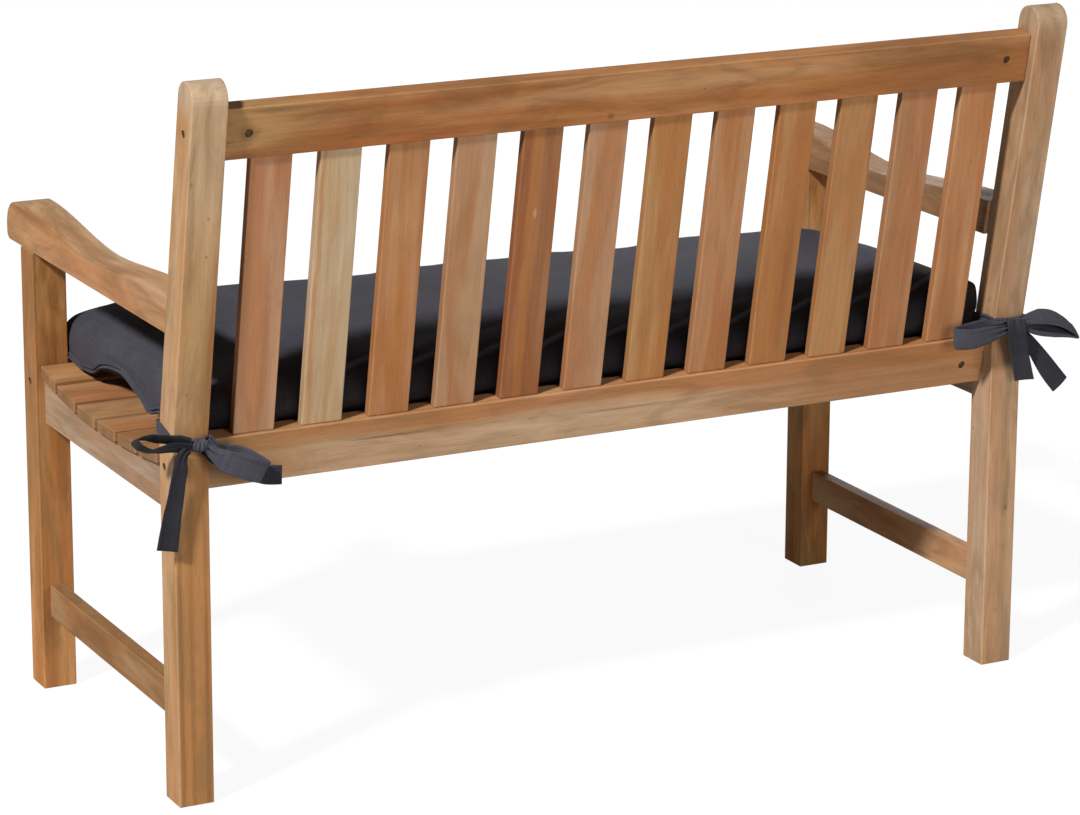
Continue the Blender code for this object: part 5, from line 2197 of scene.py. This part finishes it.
@dataclass
class Studio:
    """Camera, lights, floor and the white surroundings of the photograph."""

    camera_at: Triple = (2.244536, 4.365219, 1.75335)
    yaw: float = math.radians(242.761)
    pitch: float = math.radians(14.20)
    roll: float = math.radians(0.245)
    lens: float = 129.7
    sensor: float = 36.0
    shift_y: float = -0.0995
    far_clip: float = 60.0
    sun_from: Triple = (0.664, 0.346, 0.663)
    sun_strength: float = 4.25
    sun_soft: float = math.radians(6.0)
    ambient: float = 0.05
    floor_reach: float = 14.0
    floor_drop: float = 0.0005
    floor_seen: Colour = (0.085, 0.085, 0.085)
    floor_glow: float = 0.93
    floor_lit: Colour = (0.46, 0.44, 0.42)
    rear: bpy.types.Object | None = None
    low: bpy.types.Object | None = None

    REAR = SoftLamp((-0.7, 4.2, 1.35), 1.8, 78.0)
    FRONT = SoftLamp((-2.6, -3.4, 1.25), 1.6, 50.0)
    LOW = SoftLamp((6.5, -0.8, 0.5), 2.4, 65.0, (-0.57, -0.2, 0.2))

    def build(self) -> None:
        """Builds everything around the object."""
        self.place_camera()
        self.light()
        self.surroundings()
        self.floor()
        settings = bpy.context.scene.view_settings
        settings.view_transform = "Standard"
        settings.look = "None"

    def place_camera(self) -> None:
        """Puts the camera where the photograph was taken from."""
        data = bpy.data.cameras.new("photo_camera")
        data.lens = self.lens
        data.sensor_width = self.sensor
        data.shift_y = self.shift_y
        data.clip_end = self.far_clip
        camera = stand("photo_camera", data)
        level = math.cos(self.pitch)
        forward = Vector(
            (math.cos(self.yaw) * level, math.sin(self.yaw) * level, -math.sin(self.pitch))
        )
        right = forward.cross(Vector((0, 0, 1))).normalized()
        up = right.cross(forward)
        turned = math.cos(self.roll) * right + math.sin(self.roll) * up
        raised = -math.sin(self.roll) * right + math.cos(self.roll) * up
        axes = Matrix((turned, raised, -forward)).transposed().to_4x4()
        camera.matrix_world = Matrix.Translation(self.camera_at) @ axes
        bpy.context.scene.camera = camera

    def light(self) -> None:
        """Adds the key light, the soft light from behind the bench and two weak fills."""
        data = bpy.data.lights.new("key", "SUN")
        data.energy = self.sun_strength
        data.angle = self.sun_soft
        key = stand("key", data)
        key.rotation_euler = (-Vector(self.sun_from)).to_track_quat("-Z", "Y").to_euler()
        self.rear = self.REAR.build("rear_softbox")
        self.FRONT.build("front_fill")
        self.low = self.LOW.build("low_fill")

    def shade(self, piece: bpy.types.Object) -> None:
        """Keeps the soft lights off a piece that lies in the shade of the back.

        Args:
            piece: The piece.
        """
        kept = bpy.data.collections.new("in the shade")
        kept.objects.link(piece)
        kept.collection_objects[0].light_linking.link_state = "EXCLUDE"
        for lamp in (self.rear, self.low):
            lamp.light_linking.receiver_collection = kept

    def surroundings(self) -> None:
        """White where the camera sees past the object, dim for everything else."""
        world = bpy.data.worlds.new("studio")
        world.use_nodes = True
        bpy.context.scene.world = world
        sheet = NodeSheet(world.node_tree)
        background = world.node_tree.nodes["Background"]
        strength = sheet.add("ShaderNodeMapRange")
        sheet.feed(strength.inputs[0], sheet.add("ShaderNodeLightPath").outputs["Is Camera Ray"])
        strength.inputs[3].default_value = self.ambient
        strength.inputs[4].default_value = 1.0
        background.inputs["Color"].default_value = (1.0, 1.0, 1.0, 1.0)
        sheet.feed(background.inputs["Strength"], strength.outputs[0])

    def floor(self) -> None:
        """A plain pale floor that takes only a faint shadow."""
        material = bpy.data.materials.new("pale floor")
        material.use_nodes = True
        sheet = NodeSheet(material.node_tree)
        nodes = material.node_tree.nodes
        nodes.remove(nodes["Principled BSDF"])
        seen_plain = sheet.add("ShaderNodeBsdfDiffuse")
        sheet.feed(seen_plain.inputs["Color"], self.floor_seen)
        lit_plain = sheet.add("ShaderNodeBsdfDiffuse")
        sheet.feed(lit_plain.inputs["Color"], self.floor_lit)
        glow = sheet.add("ShaderNodeEmission")
        glow.inputs["Strength"].default_value = self.floor_glow
        seen = sheet.add("ShaderNodeAddShader")
        sheet.feed(seen.inputs[0], seen_plain.outputs[0])
        sheet.feed(seen.inputs[1], glow.outputs[0])
        mixer = sheet.add("ShaderNodeMixShader")
        sheet.feed(mixer.inputs[0], sheet.add("ShaderNodeLightPath").outputs["Is Camera Ray"])
        sheet.feed(mixer.inputs[1], lit_plain.outputs[0])
        sheet.feed(mixer.inputs[2], seen.outputs[0])
        sheet.feed(nodes["Material Output"].inputs["Surface"], mixer.outputs[0])
        reach = self.floor_reach
        corners = ((-reach, -reach), (reach, -reach), (reach, reach), (-reach, reach))
        points = np.array([(x, y, -self.floor_drop) for x, y in corners])
        mesh_piece("floor", points, [(0, 1, 2, 3)], material)


def main() -> None:
    """Builds the studio, the bows, the bench and the cushion, in this order."""
    logging.basicConfig(level=logging.INFO, format="%(name)s: %(message)s")
    effects = SharedEffects()
    studio = Studio()
    studio.build()
    # Three copies of one cloth: the near bow's lightened as painted light, the far bow's darkened
    # a little and the shaded strips' darkened more as painted shade.
    light_painted_bow_cloth, shade_painted_cloth, shade_painted_far_cloth = (
        CharcoalCloth(ClothLay.STRIP, f"charcoal {part} cloth", strength).material(effects)
        for part, strength in (("bow", 1.28), ("tail", 0.58), ("far bow", 0.92))
    )
    near_bow(light_painted_bow_cloth, shade_painted_cloth).build()
    far_bow(shade_painted_far_cloth, shade_painted_cloth).build()
    Bench(effects).build()
    studio.shade(BenchCushion(effects).build())


if __name__ == "__main__":
    main()
